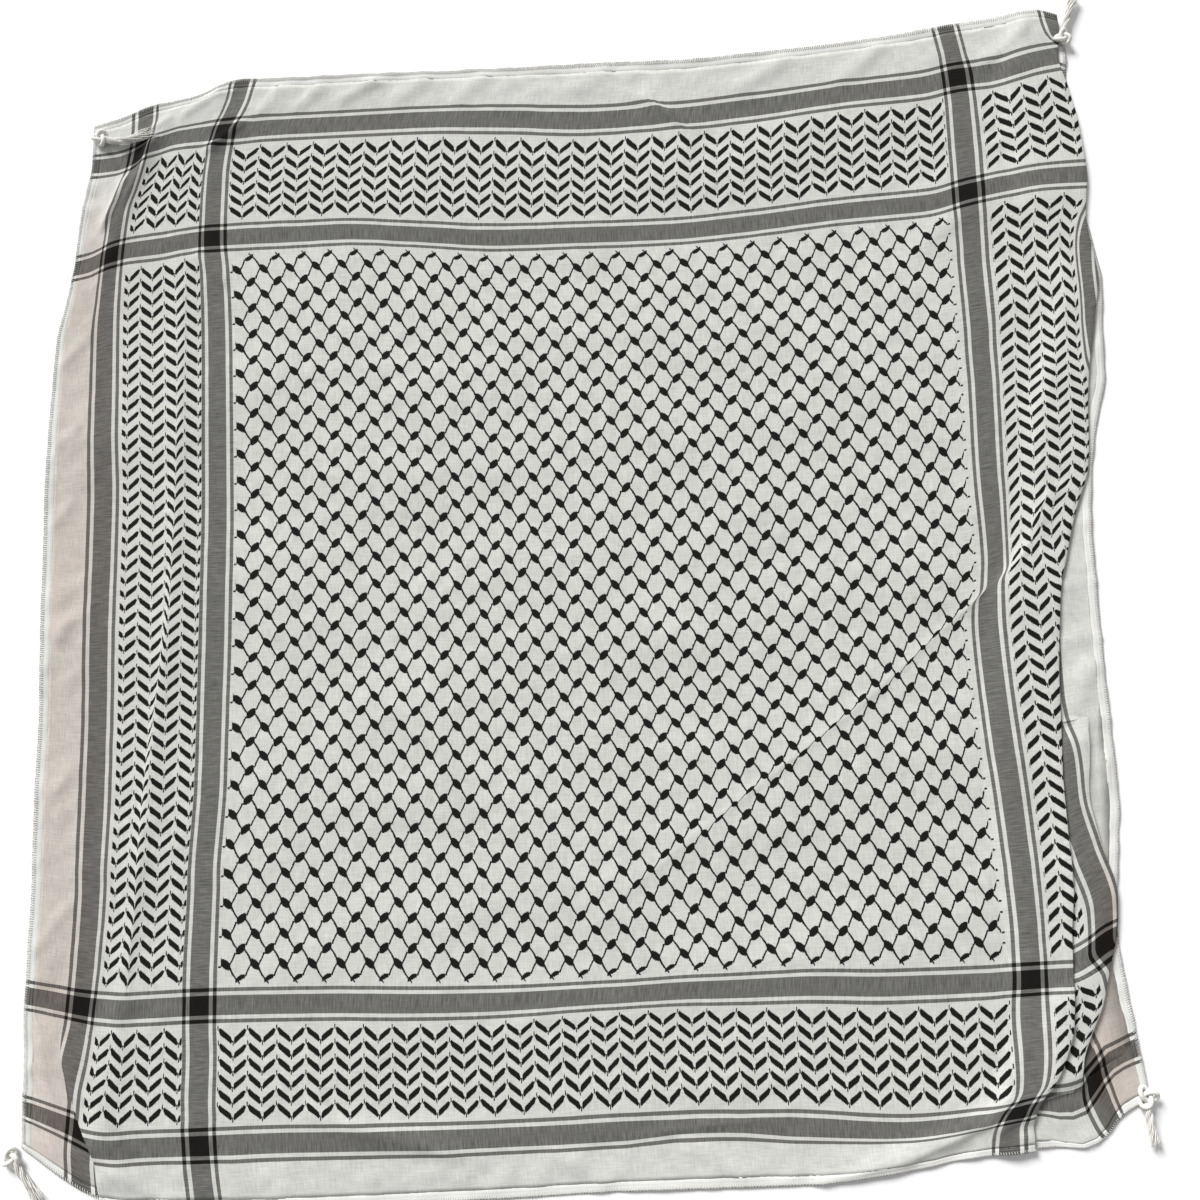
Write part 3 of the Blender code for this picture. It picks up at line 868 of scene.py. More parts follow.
@dataclass(frozen=True)
class Signal:
    """A wire of a node tree. Arithmetic on it adds math nodes."""

    tree: bpy.types.NodeTree
    socket: bpy.types.NodeSocket

    def math(self, operation: str, *others: Signal | float) -> Signal:
        """Add one math node.

        Args:
            operation: the node's operation.
            *others: its inputs after this one.

        Returns:
            Its result.
        """
        node = self.tree.nodes.new("ShaderNodeMath")
        node.operation = operation
        for socket, value in zip(node.inputs, (self, *others)):
            send(value, socket)
        return Signal(self.tree, node.outputs[0])

    def __add__(self, other: Signal | float) -> Signal:
        """Return the sum."""
        return self.math("ADD", other)

    def __sub__(self, other: Signal | float) -> Signal:
        """Return the difference."""
        return self.math("SUBTRACT", other)

    def __mul__(self, other: Signal | float) -> Signal:
        """Return the product."""
        return self.math("MULTIPLY", other)

    def __truediv__(self, other: Signal | float) -> Signal:
        """Return the quotient."""
        return self.math("DIVIDE", other)

    def short_of(self, limit: float) -> Signal:
        """Return limit less this."""
        return (self * -1.0) + limit

    def size(self) -> Signal:
        """Return the value without its sign."""
        return self.math("ABSOLUTE")

    def least(self, other: Signal | float) -> Signal:
        """Return the smaller of two values."""
        return self.math("MINIMUM", other)

    def most(self, other: Signal | float) -> Signal:
        """Return the larger of two values."""
        return self.math("MAXIMUM", other)

    def ramp(self, low: float, high: float) -> Signal:
        """Add a smooth rise.

        Args:
            low: where it starts from 0.
            high: where it reaches 1.

        Returns:
            The risen value.
        """
        node = self.tree.nodes.new("ShaderNodeMapRange")
        node.interpolation_type = "SMOOTHSTEP"
        send(self, node.inputs["Value"])
        node.inputs["From Min"].default_value = low
        node.inputs["From Max"].default_value = high
        return Signal(self.tree, node.outputs["Result"])

    def above(self, soft: float = 0.25) -> Signal:
        """Return 1 where the value is above nothing, with a soft edge in millimetres."""
        return self.ramp(-soft, soft)


def send(value: object, socket: bpy.types.NodeSocket) -> None:
    """Link a signal to an input, or set a plain value there.

    Args:
        value: the signal or the value.
        socket: the input.
    """
    if isinstance(value, Signal):
        value.tree.links.new(value.socket, socket)
    else:
        socket.default_value = value


@dataclass(frozen=True)
class NodeSheet:
    """A node tree under construction, with short ways to add to it."""

    tree: bpy.types.NodeTree

    def node(self, kind: str, **inputs: object) -> bpy.types.Node:
        """Add a node.

        Args:
            kind: the node's type.
            **inputs: values or signals for its inputs, named with _ for a space.

        Returns:
            The new node.
        """
        node = self.tree.nodes.new(kind)
        for name, value in inputs.items():
            send(value, node.inputs[name.replace("_", " ")])
        return node

    def signal(self, node: bpy.types.Node, output: str | int = 0) -> Signal:
        """Return a node's output as a signal."""
        return Signal(self.tree, node.outputs[output])

    def noise(self, across: float, up: float, vector: Signal, detail: float) -> Signal:
        """Add a noise.

        Args:
            across: waves in a unit of the first coordinate.
            up: waves in a unit of the second one.
            vector: the coordinates.
            detail: finer layers that are added.

        Returns:
            Its value, about one half.
        """
        mapping = self.node("ShaderNodeMapping", Vector=vector, Scale=(across, up, 1.0))
        noise = self.node("ShaderNodeTexNoise", Vector=self.signal(mapping), Scale=1.0, Detail=detail)
        return self.signal(noise, "Fac")

    def joined(self, x: Signal, y: Signal) -> Signal:
        """Return two coordinates as one vector."""
        return self.signal(self.node("ShaderNodeCombineXYZ", X=x, Y=y))

    def map_places(self) -> tuple[Signal, Signal]:
        """Read the UV map.

        Returns:
            Its two coordinates.
        """
        uv = self.node("ShaderNodeUVMap")
        uv.uv_map = UV_MAP
        parts = self.node("ShaderNodeSeparateXYZ", Vector=self.signal(uv))
        return self.signal(parts, "X"), self.signal(parts, "Y")

    def flat_places(self) -> tuple[Signal, Signal]:
        """Return the place on the flat square, u and v, in millimetres."""
        return tuple((place - 0.5) * (2 * EDGE) for place in self.map_places())

    def colour_ramp(self, value: Signal, stops: tuple[tuple[float, Colour], ...]) -> Signal:
        """Turn a value into a colour between stops, in straight lines.

        Args:
            value: the value, from 0 to 1.
            stops: places and colours, in rising order.

        Returns:
            The colour.
        """
        node = self.node("ShaderNodeValToRGB", Fac=value)
        ramp = node.color_ramp
        while len(ramp.elements) < len(stops):
            ramp.elements.new(0.5)
        for element, (place, colour) in zip(ramp.elements, stops):
            element.position = place
            element.color = (*colour, 1.0)
        return self.signal(node, "Color")

    def mix_colour(self, share: Signal, first: Signal | Colour, second: Signal | Colour,
                   blend: str = "MIX") -> Signal:
        """Mix two colours.

        Args:
            share: how much of the second one is taken.
            first: the first colour.
            second: the second colour.
            blend: the way of mixing.

        Returns:
            The mixed colour.
        """
        node = self.tree.nodes.new("ShaderNodeMix")
        node.data_type = "RGBA"
        node.blend_type = blend
        send(share, node.inputs["Factor"])
        for socket, value in ((node.inputs[6], first), (node.inputs[7], second)):
            send(value if isinstance(value, Signal) else (*value, 1.0), socket)
        return Signal(self.tree, node.outputs[2])

    def shaded(self, colour: Signal, brightness: Signal) -> Signal:
        """Multiply a colour by a brightness.

        Args:
            colour: the colour.
            brightness: the factor.

        Returns:
            The product.
        """
        node = self.tree.nodes.new("ShaderNodeVectorMath")
        node.operation = "SCALE"
        send(colour, node.inputs[0])
        send(brightness, node.inputs["Scale"])
        return Signal(self.tree, node.outputs[0])

    def coat(self, shader: bpy.types.Node, relief: bpy.types.Node, **inputs: Signal | float) -> None:
        """Connect a finish to its shader.

        Args:
            shader: its Principled shader.
            relief: its bump.
            **inputs: the shader's inputs, named with _ for a space.
        """
        send(self.signal(relief), shader.inputs["Normal"])
        for name, value in inputs.items():
            send(value, shader.inputs[name.replace("_", " ")])


def new_effect(name: str, inputs: tuple[str, ...], outputs: tuple[str, ...]) -> tuple[NodeSheet, dict, dict]:
    """Start a shader node group of number sockets.

    Args:
        name: the effect's name.
        inputs: names of its inputs.
        outputs: names of its outputs.

    Returns:
        The group's sheet, its inputs as signals, and its outputs' sockets.
    """
    tree = bpy.data.node_groups.new(name, "ShaderNodeTree")
    for label in inputs:
        tree.interface.new_socket(label, in_out="INPUT", socket_type="NodeSocketFloat")
    for label in outputs:
        tree.interface.new_socket(label, in_out="OUTPUT", socket_type="NodeSocketFloat")
    source = tree.nodes.new("NodeGroupInput")
    target = tree.nodes.new("NodeGroupOutput")
    ins = {label: Signal(tree, source.outputs[label]) for label in inputs}
    outs = {label: target.inputs[label] for label in outputs}
    return NodeSheet(tree), ins, outs


@dataclass(frozen=True)
class BandLayout:
    """Dark threads of one direction: two wide bands a side, each between two thin stripes."""

    half_band: float = 10.25
    stripe_middle: float = 16.25
    half_stripe: float = 2.0

    def build(self) -> bpy.types.NodeTree:
        """Make the node group, whose input is a place across the threads in millimetres.

        Returns:
            The group.
        """
        sheet, ins, outs = new_effect("band_layout", ("Place",), ("Dark",))
        place = ins["Place"].size()
        off = (place - OUTER_BAND).size().least((place - INNER_BAND).size())
        band = off.short_of(self.half_band).above()
        stripe = (off - self.stripe_middle).size().short_of(self.half_stripe).above()
        send(band.most(stripe), outs["Dark"])
        return sheet.tree


@dataclass(frozen=True)
class LeafRows:
    """Rows of a zigzag whose strokes are leaves, with a thorn at each peak and valley."""

    pitch: float = 31.0
    slope: float = 0.8
    falling_half: float = 3.7
    rising_half: float = 3.4
    thorn_half: float = 0.62
    thorn_length: float = 4.6
    thorn_foot: float = 0.6
    thorn_tip: float = 0.4
    stem_half: float = 0.7
    stem_length: float = 2.6
    # Half widths of the soft edges that are finer than the usual one.
    thorn_soft: float = 0.2
    middle_soft: float = 0.05
    # How a leaf widens from its tip, and then from its root.
    falling_tip: tuple[float, float] = (0.0, 2.6)
    falling_root: tuple[float, float] = (0.2, 2.4)
    rising_tip: tuple[float, float] = (0.6, 3.8)
    rising_root: tuple[float, float] = (0.6, 1.6)

    def build(self) -> bpy.types.NodeTree:
        """Make the node group.

        Across is the signed distance from the nearest peak, Up the height above the first
        row's peak, Rows the number of the last row, and Step the distance between rows.

        Returns:
            The group.
        """
        sheet, ins, outs = new_effect("leaf_rows", ("Across", "Up", "Rows", "Step", "Vary"), ("Leaf",))
        half_pitch = self.pitch / 2
        away = ins["Across"].size()
        level = ins["Up"] + away * self.slope
        row = (level / ins["Step"]).math("ROUND").least(0.0).most(ins["Rows"] * -1.0)
        off = level - row * ins["Step"]
        falling = ins["Across"].above(self.middle_soft)
        root = away.short_of(half_pitch)
        fall = away.ramp(*self.falling_tip) * root.ramp(*self.falling_root) * self.falling_half
        rise = away.ramp(*self.rising_tip) * root.ramp(*self.rising_root) * self.rising_half
        half = rise + (fall - rise) * falling
        leaf = (half * ins["Vary"] - off.size()).above()
        up = away.short_of(self.thorn_half).above(self.thorn_soft) * off.ramp(-self.thorn_foot, 0.0)
        up = up * off.short_of(self.thorn_length).above()
        down = (away - (half_pitch - self.thorn_half)).above(self.thorn_soft)
        down = down * off.short_of(2 * self.thorn_tip).above()
        down = down * off.ramp(-self.thorn_length, self.thorn_tip - self.thorn_length)
        stem = (away - half_pitch + self.stem_length).above() * falling
        stem = stem * off.size().short_of(self.stem_half).above()
        send(leaf.most(up).most(down).most(stem), outs["Leaf"])
        return sheet.tree


@dataclass(frozen=True)
class KnottedNet:
    """The middle field: leaning knots in rows, tied to their neighbours by thin cords."""

    pitch: float = 31.15
    row: float = 16.08
    left: float = -401.5
    top: float = 418.0
    knot_half: float = 5.1
    knot_reach: float = 5.1
    lens_reach: float = 5.9
    lean: float = 0.52
    rows: int = 26
    reach_left: float = 422.3
    reach_right: float = 417.0
    edge_room: float = 0.8
    cord_room: float = 6.0
    # Each cord is a parabola from a knot: its start, slope and bend, then its limit.
    cord_up: tuple[float, ...] = (4.2, 0.62, -0.0135, 12.6)
    cord_down: tuple[float, ...] = (3.6, 0.17, 0.0215, 3.0)
    down_gain: float = 1.2
    # Small marks beside the outer knots: their place across and how far below a knot.
    marks: tuple[tuple[float, float], ...] = ((-423.6, 2.5), (418.9, 2.6), (418.9, -8.6))
    mark_size: tuple[float, float] = (1.7, 1.15)

    def knot(self, x: Signal, y: Signal) -> Signal:
        """Draw a knot, a lens round a leaning line, cut upright at its sides.

        Args:
            x: distance to the side of the knot's middle.
            y: distance above it.

        Returns:
            The knot's mask.
        """
        place = x / self.lens_reach
        lens = (place * place).short_of(1.0).most(0.0).math("SQRT") * self.knot_half
        return (lens - (y + x * self.lean).size()).above() * x.short_of(self.knot_reach).above()

    def build(self) -> bpy.types.NodeTree:
        """Make the node group, whose inputs are places on the flat square in millimetres.

        Every second row leans the other way. The pattern turns into itself by a half turn
        about each knot, so one side of a knot gives the other.

        Returns:
            The group.
        """
        sheet, ins, outs = new_effect("knotted_net", ("Across", "Up", "Vary"), ("Net",))
        across, up = ins["Across"], ins["Up"]
        half = self.pitch / 2
        first = self.top - self.row
        beside = (across - (self.left - half)).math("WRAP", half, -half)
        row = ((up * -1.0 + first) / (2 * self.row)).math("ROUND").most(0.0).least(self.rows - 1.0)
        above = up - first + row * (2 * self.row)
        side = beside.math("SIGN")
        x, y = beside.size(), above * side
        x_next = x.short_of(half)
        y_next = y - y.math("SIGN") * self.row
        slanted = up + side * x_next * self.lean
        last = self.top - 2 * self.row * self.rows
        whole = slanted.short_of(self.top + self.edge_room).above()
        whole = whole * (slanted - (last - self.edge_room)).above()
        knots = self.knot(x, y).most(self.knot(x_next, y_next) * whole)
        thick = ins["Vary"]
        start, slope, bend, limit = self.cord_up
        rising = y * slope + y * y * bend + start
        cord_up = (thick - (x - rising).size()).above() * y.above() * y.short_of(limit).above()
        down = y * -1.0
        start, slope, bend, limit = self.cord_down
        falling = down * slope + down * down * bend + start
        cord_down = (thick * self.down_gain - (x - falling).size()).above() * (down - limit).above()
        cords = cord_up.most(cord_down)
        inside = (across + self.reach_left).above() * across.short_of(self.reach_right).above()
        inside = inside * up.short_of(self.top + self.cord_room).above()
        inside = inside * (up - last + self.cord_room).above()
        marks = None
        for mark_x, mark_y in self.marks:
            far_x = (across - mark_x) / self.mark_size[0]
            far_y = (above + mark_y) / self.mark_size[1]
            mark = (far_x * far_x + far_y * far_y).short_of(1.0).ramp(-0.2, 0.2)
            marks = mark if marks is None else marks.most(mark)
        shown = up.short_of(self.top).above() * (up - last).above()
        send((knots.most(cords) * inside).most(marks * shown), outs["Net"])
        return sheet.tree


@dataclass(frozen=True)
class PlainWeave:
    """Threads that pass over and under each other, one over one."""

    thread: float = 0.56

    def build(self) -> bpy.types.NodeTree:
        """Make the node group: Over is 1 where the warp shows, Height is the threads' relief.

        Returns:
            The group.
        """
        sheet, ins, outs = new_effect("plain_weave", ("Across", "Up"), ("Over", "Height"))
        turn = math.pi / self.thread
        wave = (ins["Across"] * turn).math("SINE") * (ins["Up"] * turn).math("SINE")
        send(wave.ramp(-0.25, 0.25), outs["Over"])
        send(wave.size().math("SQRT"), outs["Height"])
        return sheet.tree


@dataclass(frozen=True)
class Slub:
    """Uneven yarn: fine streaks along each direction of thread."""

    fine: float = 0.7
    coarse: float = 0.06
    detail: float = 2.0

    def build(self) -> bpy.types.NodeTree:
        """Make the node group, with a value about 0 for the warp and one for the weft.

        Returns:
            The group.
        """
        sheet, ins, outs = new_effect("slub", ("Across", "Up"), ("Warp", "Weft"))
        vector = sheet.joined(ins["Across"], ins["Up"])
        warp = sheet.noise(self.fine, self.coarse, vector, self.detail)
        weft = sheet.noise(self.coarse, self.fine, vector, self.detail)
        send(warp - 0.5, outs["Warp"])
        send(weft - 0.5, outs["Weft"])
        return sheet.tree


@dataclass(frozen=True)
class YarnTwist:
    """Fibres of a spun yarn."""

    along: float = 0.6
    around: float = 5.0
    detail: float = 3.0

    def build(self) -> bpy.types.NodeTree:
        """Make the node group: a Fibre value about 0 from the yarn's own place.

        Returns:
            The group.
        """
        sheet, ins, outs = new_effect("yarn_twist", ("Along", "Round"), ("Fibre",))
        fine = sheet.noise(self.along, self.around, sheet.joined(ins["Along"], ins["Round"]), self.detail)
        send(fine - 0.5, outs["Fibre"])
        return sheet.tree


class Effects:
    """The node groups that the materials share, each built once."""

    def __init__(self) -> None:
        """Build every group."""
        self.groups = {
            "bands": BandLayout().build(),
            "leaves": LeafRows().build(),
            "net": KnottedNet().build(),
            "weave": PlainWeave().build(),
            "slub": Slub().build(),
            "yarn": YarnTwist().build(),
        }

    def place(self, sheet: NodeSheet, effect: str, **inputs: Signal | float) -> dict[str, Signal]:
        """Put a group in a material and return its outputs.

        Args:
            sheet: the material's sheet.
            effect: which group.
            **inputs: its inputs by name.

        Returns:
            A signal for each output.
        """
        node = sheet.tree.nodes.new("ShaderNodeGroup")
        node.node_tree = self.groups[effect]
        for name, value in inputs.items():
            send(value, node.inputs[name])
        return {output.name: Signal(sheet.tree, output) for output in node.outputs}


def new_finish(name: str) -> tuple[bpy.types.Material, NodeSheet, bpy.types.Node]:
    """Start a material.

    Args:
        name: the material's name.

    Returns:
        The material, its sheet and its Principled shader.
    """
    material = bpy.data.materials.new(name)
    material.use_nodes = True
    return material, NodeSheet(material.node_tree), material.node_tree.nodes["Principled BSDF"]


@dataclass(frozen=True)
class WovenCotton:
    """The woven square's finish."""

    white: Colour = (0.605, 0.606, 0.576)
    grey: Colour = (0.145, 0.143, 0.135)
    black: Colour = (0.0095, 0.0085, 0.0075)
    motif: Colour = (0.0105, 0.0105, 0.0092)
    # Painted warm shade, multiplied into the left margin and the lower right.
    warm_shade: Colour = (0.90, 0.80, 0.76)
    float_row: float = 1.05
    ragged_edge: float = 1.1
    roughness: float = 0.86
    slub_depth: float = 0.42
    streak_depth: float = 1.1
    over_depth: float = 0.30
    # Strength of the painted shade in the gaps between the threads.
    thread_gap_shade: float = 0.10
    thread_relief: float = 0.05
    uneven_relief: float = 0.35
    bump: float = 0.6
    sheen: float = 0.015
    shine: float = 0.08
    # Noises: waves in a millimetre, and what each one varies.
    uneven_waves: float = 0.07
    cloudiness: float = 0.16
    leaf_vary: float = 0.7
    ragged_waves: tuple[float, float] = (0.9, 0.35)
    cord_vary: float = 0.9
    shade_patch_waves: float = 0.004
    shade_patchiness: float = 0.3
    # Painted warm shade on the margins: where it starts and is full outwards, the same towards
    # the front, and its strength.
    left_shade: tuple[float, ...] = (550.0, 625.0, -640.0, -340.0, 0.9)
    right_shade: tuple[float, ...] = (575.0, 595.0, 330.0, 450.0, 1.3)
    # Leaf zones along the sides and the ends: peaks, limits, first rows and rows.
    side_peak: float = 481.2
    side_pitch: float = 30.2
    side_start: float = 464.2
    side_limit: float = 562.5
    side_shift: float = 1.7
    side_top: float = 417.6
    side_row: float = 16.13
    side_rows: float = 51.0
    end_peak: float = -424.0
    end_pitch: float = 31.4
    end_limit: float = 424.5
    end_middle: float = 514.5
    end_half: float = 45.3
    end_row: float = 15.5
    end_rows: float = 5.0
    zone_limit: float = 440.0

    def ground(self, sheet: NodeSheet, effects: Effects, u: Signal, v: Signal) -> tuple[Signal, Signal]:
        """Draw the plain weave with its bands.

        Args:
            sheet: the material's sheet.
            effects: the shared groups.
            u: place on the flat square.
            v: place on the flat square.

        Returns:
            The colour and the threads' height.
        """
        warp_dark = effects.place(sheet, "bands", Place=u)["Dark"]
        weft_dark = effects.place(sheet, "bands", Place=v)["Dark"]
        weave = effects.place(sheet, "weave", Across=u, Up=v)
        slub = effects.place(sheet, "slub", Across=u, Up=v)
        both = (warp_dark + weft_dark) * 0.5
        colour = sheet.colour_ramp(both, ((0.0, self.white), (0.5, self.grey), (1.0, self.black)))
        only_warp = warp_dark * weft_dark.short_of(1.0)
        only_weft = weft_dark * warp_dark.short_of(1.0)
        over = (weave["Over"] - 0.5) * (only_weft - only_warp) * self.over_depth
        streak = only_warp * slub["Weft"] + only_weft * slub["Warp"]
        bright = (slub["Warp"] + slub["Weft"]) * self.slub_depth + streak * self.streak_depth + over + 1.0
        # Painted shade: darker in the gaps between threads, lighter on their crowns.
        bright = bright * ((weave["Height"] - 0.7) * self.thread_gap_shade + 1.0)
        return sheet.shaded(colour, bright), weave["Height"]

    def leaves(self, sheet: NodeSheet, effects: Effects, u: Signal, v: Signal, vary: Signal) -> Signal:
        """Draw the leaf rows of the side zones, the end zones and the corners.

        Args:
            sheet: the material's sheet.
            effects: the shared groups.
            u: place on the flat square, with ragged edges.
            v: place on the flat square, in steps of one float.
            vary: how full a leaf is.

        Returns:
            Their mask.
        """
        far_u, far_v = u.size(), v.size()
        pitch = LeafRows.pitch
        side_peak = (far_u - self.side_peak).math("WRAP", self.side_pitch / 2, -self.side_pitch / 2)
        side_peak = side_peak * u.math("SIGN") * (pitch / self.side_pitch)
        end_peak = (u - self.end_peak).math("WRAP", self.end_pitch / 2, -self.end_pitch / 2)
        end_peak = end_peak * (pitch / self.end_pitch)
        in_side = (far_u - u.math("SIGN") * self.side_shift - self.side_start).above()
        in_side = in_side * far_u.short_of(self.side_limit).above()
        in_end = far_u.short_of(self.end_limit).above()
        across = end_peak + (side_peak - end_peak) * (far_u - self.zone_limit).above()
        end_top = v.math("SIGN") * self.end_middle + self.end_half
        end_rows = effects.place(sheet, "leaves", Across=across, Vary=vary,
                                 Up=v - end_top, Rows=self.end_rows, Step=self.end_row)
        side_rows = effects.place(sheet, "leaves", Across=across, Vary=vary,
                                  Up=v - self.side_top, Rows=self.side_rows, Step=self.side_row)
        beyond = (far_v - self.zone_limit).above()
        end_mask = end_rows["Leaf"] * in_side.most(in_end) * beyond
        side_mask = side_rows["Leaf"] * in_side * beyond.short_of(1.0)
        return end_mask.most(side_mask)

    def margin_shade(self, out: Signal, v: Signal, low: float, high: float, far: float, near: float,
             strength: float) -> Signal:
        """Return how much painted warm shade one margin gets."""
        return out.ramp(low, high) * (v * -1.0).ramp(far, near) * strength

    def build(self, effects: Effects) -> bpy.types.Material:
        """Make the material.

        Args:
            effects: the shared groups.

        Returns:
            The material.
        """
        material, sheet, shader = new_finish("woven_cotton_look")
        u, v = sheet.flat_places()
        colour, thread = self.ground(sheet, effects, u, v)
        place = sheet.joined(u, v)
        uneven = sheet.noise(self.uneven_waves, self.uneven_waves, place, 1.0)
        ragged = sheet.noise(*self.ragged_waves, place, 1.0)
        steps = ((v / self.float_row).math("FLOOR") + 0.5) * self.float_row
        rough_u = u + (ragged - 0.5) * self.ragged_edge
        colour = sheet.shaded(colour, (uneven - 0.5) * self.cloudiness + 1.0)
        leaves = self.leaves(sheet, effects, rough_u, steps, (uneven - 0.5) * self.leaf_vary + 1.0)
        thick = (ragged - 0.5) * self.cord_vary + 1.0
        net = effects.place(sheet, "net", Across=rough_u, Up=steps, Vary=thick)["Net"]
        colour = sheet.mix_colour(leaves.most(net), colour, self.motif)
        # Painted shade: the left margin and the lower right are darkened and warmed, in uneven patches.
        shade_patch = sheet.noise(self.shade_patch_waves, self.shade_patch_waves, place, 1.0)
        margin_shade = (self.margin_shade(u * -1.0, v, *self.left_shade).most(self.margin_shade(u, v, *self.right_shade))
                + (shade_patch - 0.5) * self.shade_patchiness).most(0.0)
        colour = sheet.mix_colour(margin_shade, colour, self.warm_shade, "MULTIPLY")
        height = thread * self.thread_relief + uneven * self.uneven_relief
        bump = sheet.node("ShaderNodeBump", Height=height, Strength=self.bump, Distance=MM)
        sheet.coat(shader, bump, Base_Color=colour, Roughness=(uneven - 0.5) * 0.1 + self.roughness,
                   Sheen_Weight=self.sheen, Specular_IOR_Level=self.shine)
        return material


@dataclass(frozen=True)
class HemCotton:
    """The hem's finish: the same weave in two layers, pressed, with dark dots along its outer edge."""

    slub_depth: float = 0.16
    white: Colour = (0.72, 0.722, 0.70)
    crease: Colour = (0.03, 0.028, 0.026)
    crease_strength: float = 0.7
    dot: Colour = (0.17, 0.13, 0.115)
    dot_strength: float = 0.85
    dot_step: float = 3.3
    dot_half: float = 0.2
    dot_reach: float = 1.3
    fold_step: float = 3.0
    fold_relief: float = 0.12
    roughness: float = 0.82

    def build(self, effects: Effects) -> bpy.types.Material:
        """Make the material.

        Args:
            effects: the shared groups.

        Returns:
            The material.
        """
        material, sheet, shader = new_finish("hem_cotton_look")
        u, v = sheet.flat_places()
        woven = WovenCotton(white=self.white, slub_depth=self.slub_depth)
        colour, thread = woven.ground(sheet, effects, u, v)
        side = (u.size() - v.size()).above(0.5)
        run = u + (v - u) * side
        depth = (u.size().most(v.size())).short_of(EDGE)
        fold = (depth / self.fold_step).math("FRACT").math("PINGPONG", 0.5) * 2.0
        crossed = effects.place(sheet, "bands", Place=run)["Dark"]
        lines = fold.short_of(0.45).ramp(0.0, 0.2) * crossed * self.crease_strength
        colour = sheet.mix_colour(lines, colour, self.crease)
        dot = ((run / self.dot_step).math("FRACT") - 0.5).size().short_of(self.dot_half).ramp(-0.04, 0.04)
        dot = dot * depth.short_of(self.dot_reach).above()
        colour = sheet.mix_colour(dot * self.dot_strength, colour, self.dot)
        height = thread * woven.thread_relief + fold * self.fold_relief
        bump = sheet.node("ShaderNodeBump", Height=height, Strength=woven.bump, Distance=MM)
        sheet.coat(shader, bump, Base_Color=colour, Roughness=fold * 0.08 + self.roughness,
                   Sheen_Weight=woven.sheen, Specular_IOR_Level=woven.shine)
        return material


@dataclass(frozen=True)
class YarnCotton:
    """Off-white cotton yarn, for the knots, the tassels and the overlock thread."""

    name: str = "tassel_yarn_look"
    pale: Colour = (0.93, 0.92, 0.88)
    shade: Colour = (0.62, 0.59, 0.54)
    roughness: float = 0.82
    sheen: float = 0.3
    fibre_relief: float = 0.2
    length: float = 40.0
    contrast: float = 1.6
    shading: float = 0.35

    def build(self, effects: Effects) -> bpy.types.Material:
        """Make the material, whose fibres follow the yarn's own UV map.

        Args:
            effects: the shared groups.

        Returns:
            The material.
        """
        material, sheet, shader = new_finish(self.name)
        along, around = sheet.map_places()
        fibre = effects.place(sheet, "yarn", Along=along * self.length, Round=around)["Fibre"]
        share = (fibre * self.contrast + self.shading).most(0.0).least(1.0)
        colour = sheet.mix_colour(share, self.pale, self.shade)
        bump = sheet.node("ShaderNodeBump", Height=fibre, Strength=0.5, Distance=self.fibre_relief * MM)
        sheet.coat(shader, bump, Base_Color=colour, Roughness=fibre * 0.2 + self.roughness,
                   Sheen_Weight=self.sheen, Sheen_Roughness=0.4)
        return material


# ---------------------------------------------------------------------------------------------
# Pieces


def on_map(u: Array, v: Array) -> Array:
    """Return places on the cloth's UV map."""
    return np.stack((u, v), axis=-1) / (2 * EDGE) + 0.5


def dress(piece: bpy.types.Object, material: bpy.types.Material, slot: str, *nodes: str) -> None:
    """Give a piece its material and its place in the frame.

    Args:
        piece: the new piece.
        material: its finish.
        slot: the record's material slot; not used.
        *nodes: the CAD nodes that it stands for.
    """
    piece.data.materials.append(material)
    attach(piece, "root")
    if nodes:
        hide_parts(*nodes)
    LOG.info("%s: %d points, %d faces", piece.name, len(piece.data.vertices), len(piece.data.polygons))


def give_wall(piece: bpy.types.Object, thickness: float, offset: float) -> None:
    """Give a surface its wall.

    Args:
        piece: the surface.
        thickness: the wall, in millimetres.
        offset: -1 for a wall below the surface, 0 for one half each way.
    """
    wall = piece.modifiers.new("wall", "SOLIDIFY")
    wall.thickness = thickness * MM
    wall.offset = offset


def tube_map(points: Array, along: Array) -> Array:
    """Return the place along its tube and the share round it, for each point of some tubes."""
    share = np.arange(points.shape[-2]) / points.shape[-2]
    return np.stack(np.broadcast_arrays(along[..., None], share, points[..., 0])[:2], axis=-1)


@dataclass(frozen=True)
class WovenSquare:
    """The cloth inside its hems."""

    lie: Lie
    grid: ClothGrid

    def build(self, material: bpy.types.Material) -> bpy.types.Object:
        """Make the cloth as one wall, laid by `Lie.lay`.

        Args:
            material: the cloth's finish.

        Returns:
            The cloth.
        """
        rows = self.grid.rows()
        u = self.grid.columns(rows)
        v = np.repeat(rows[:, None], u.shape[1], axis=1)
        points = self.lie.lay(u, v) + (0.0, 0.0, CLOTH_REST)
        piece = new_piece("keffiyeh_cloth", points * MM, grid_faces(*u.shape), on_map(u, v))
        give_wall(piece, CLOTH_WALL, 0.0)
        dress(piece, material, "woven_cotton", "woven_square")
        return piece


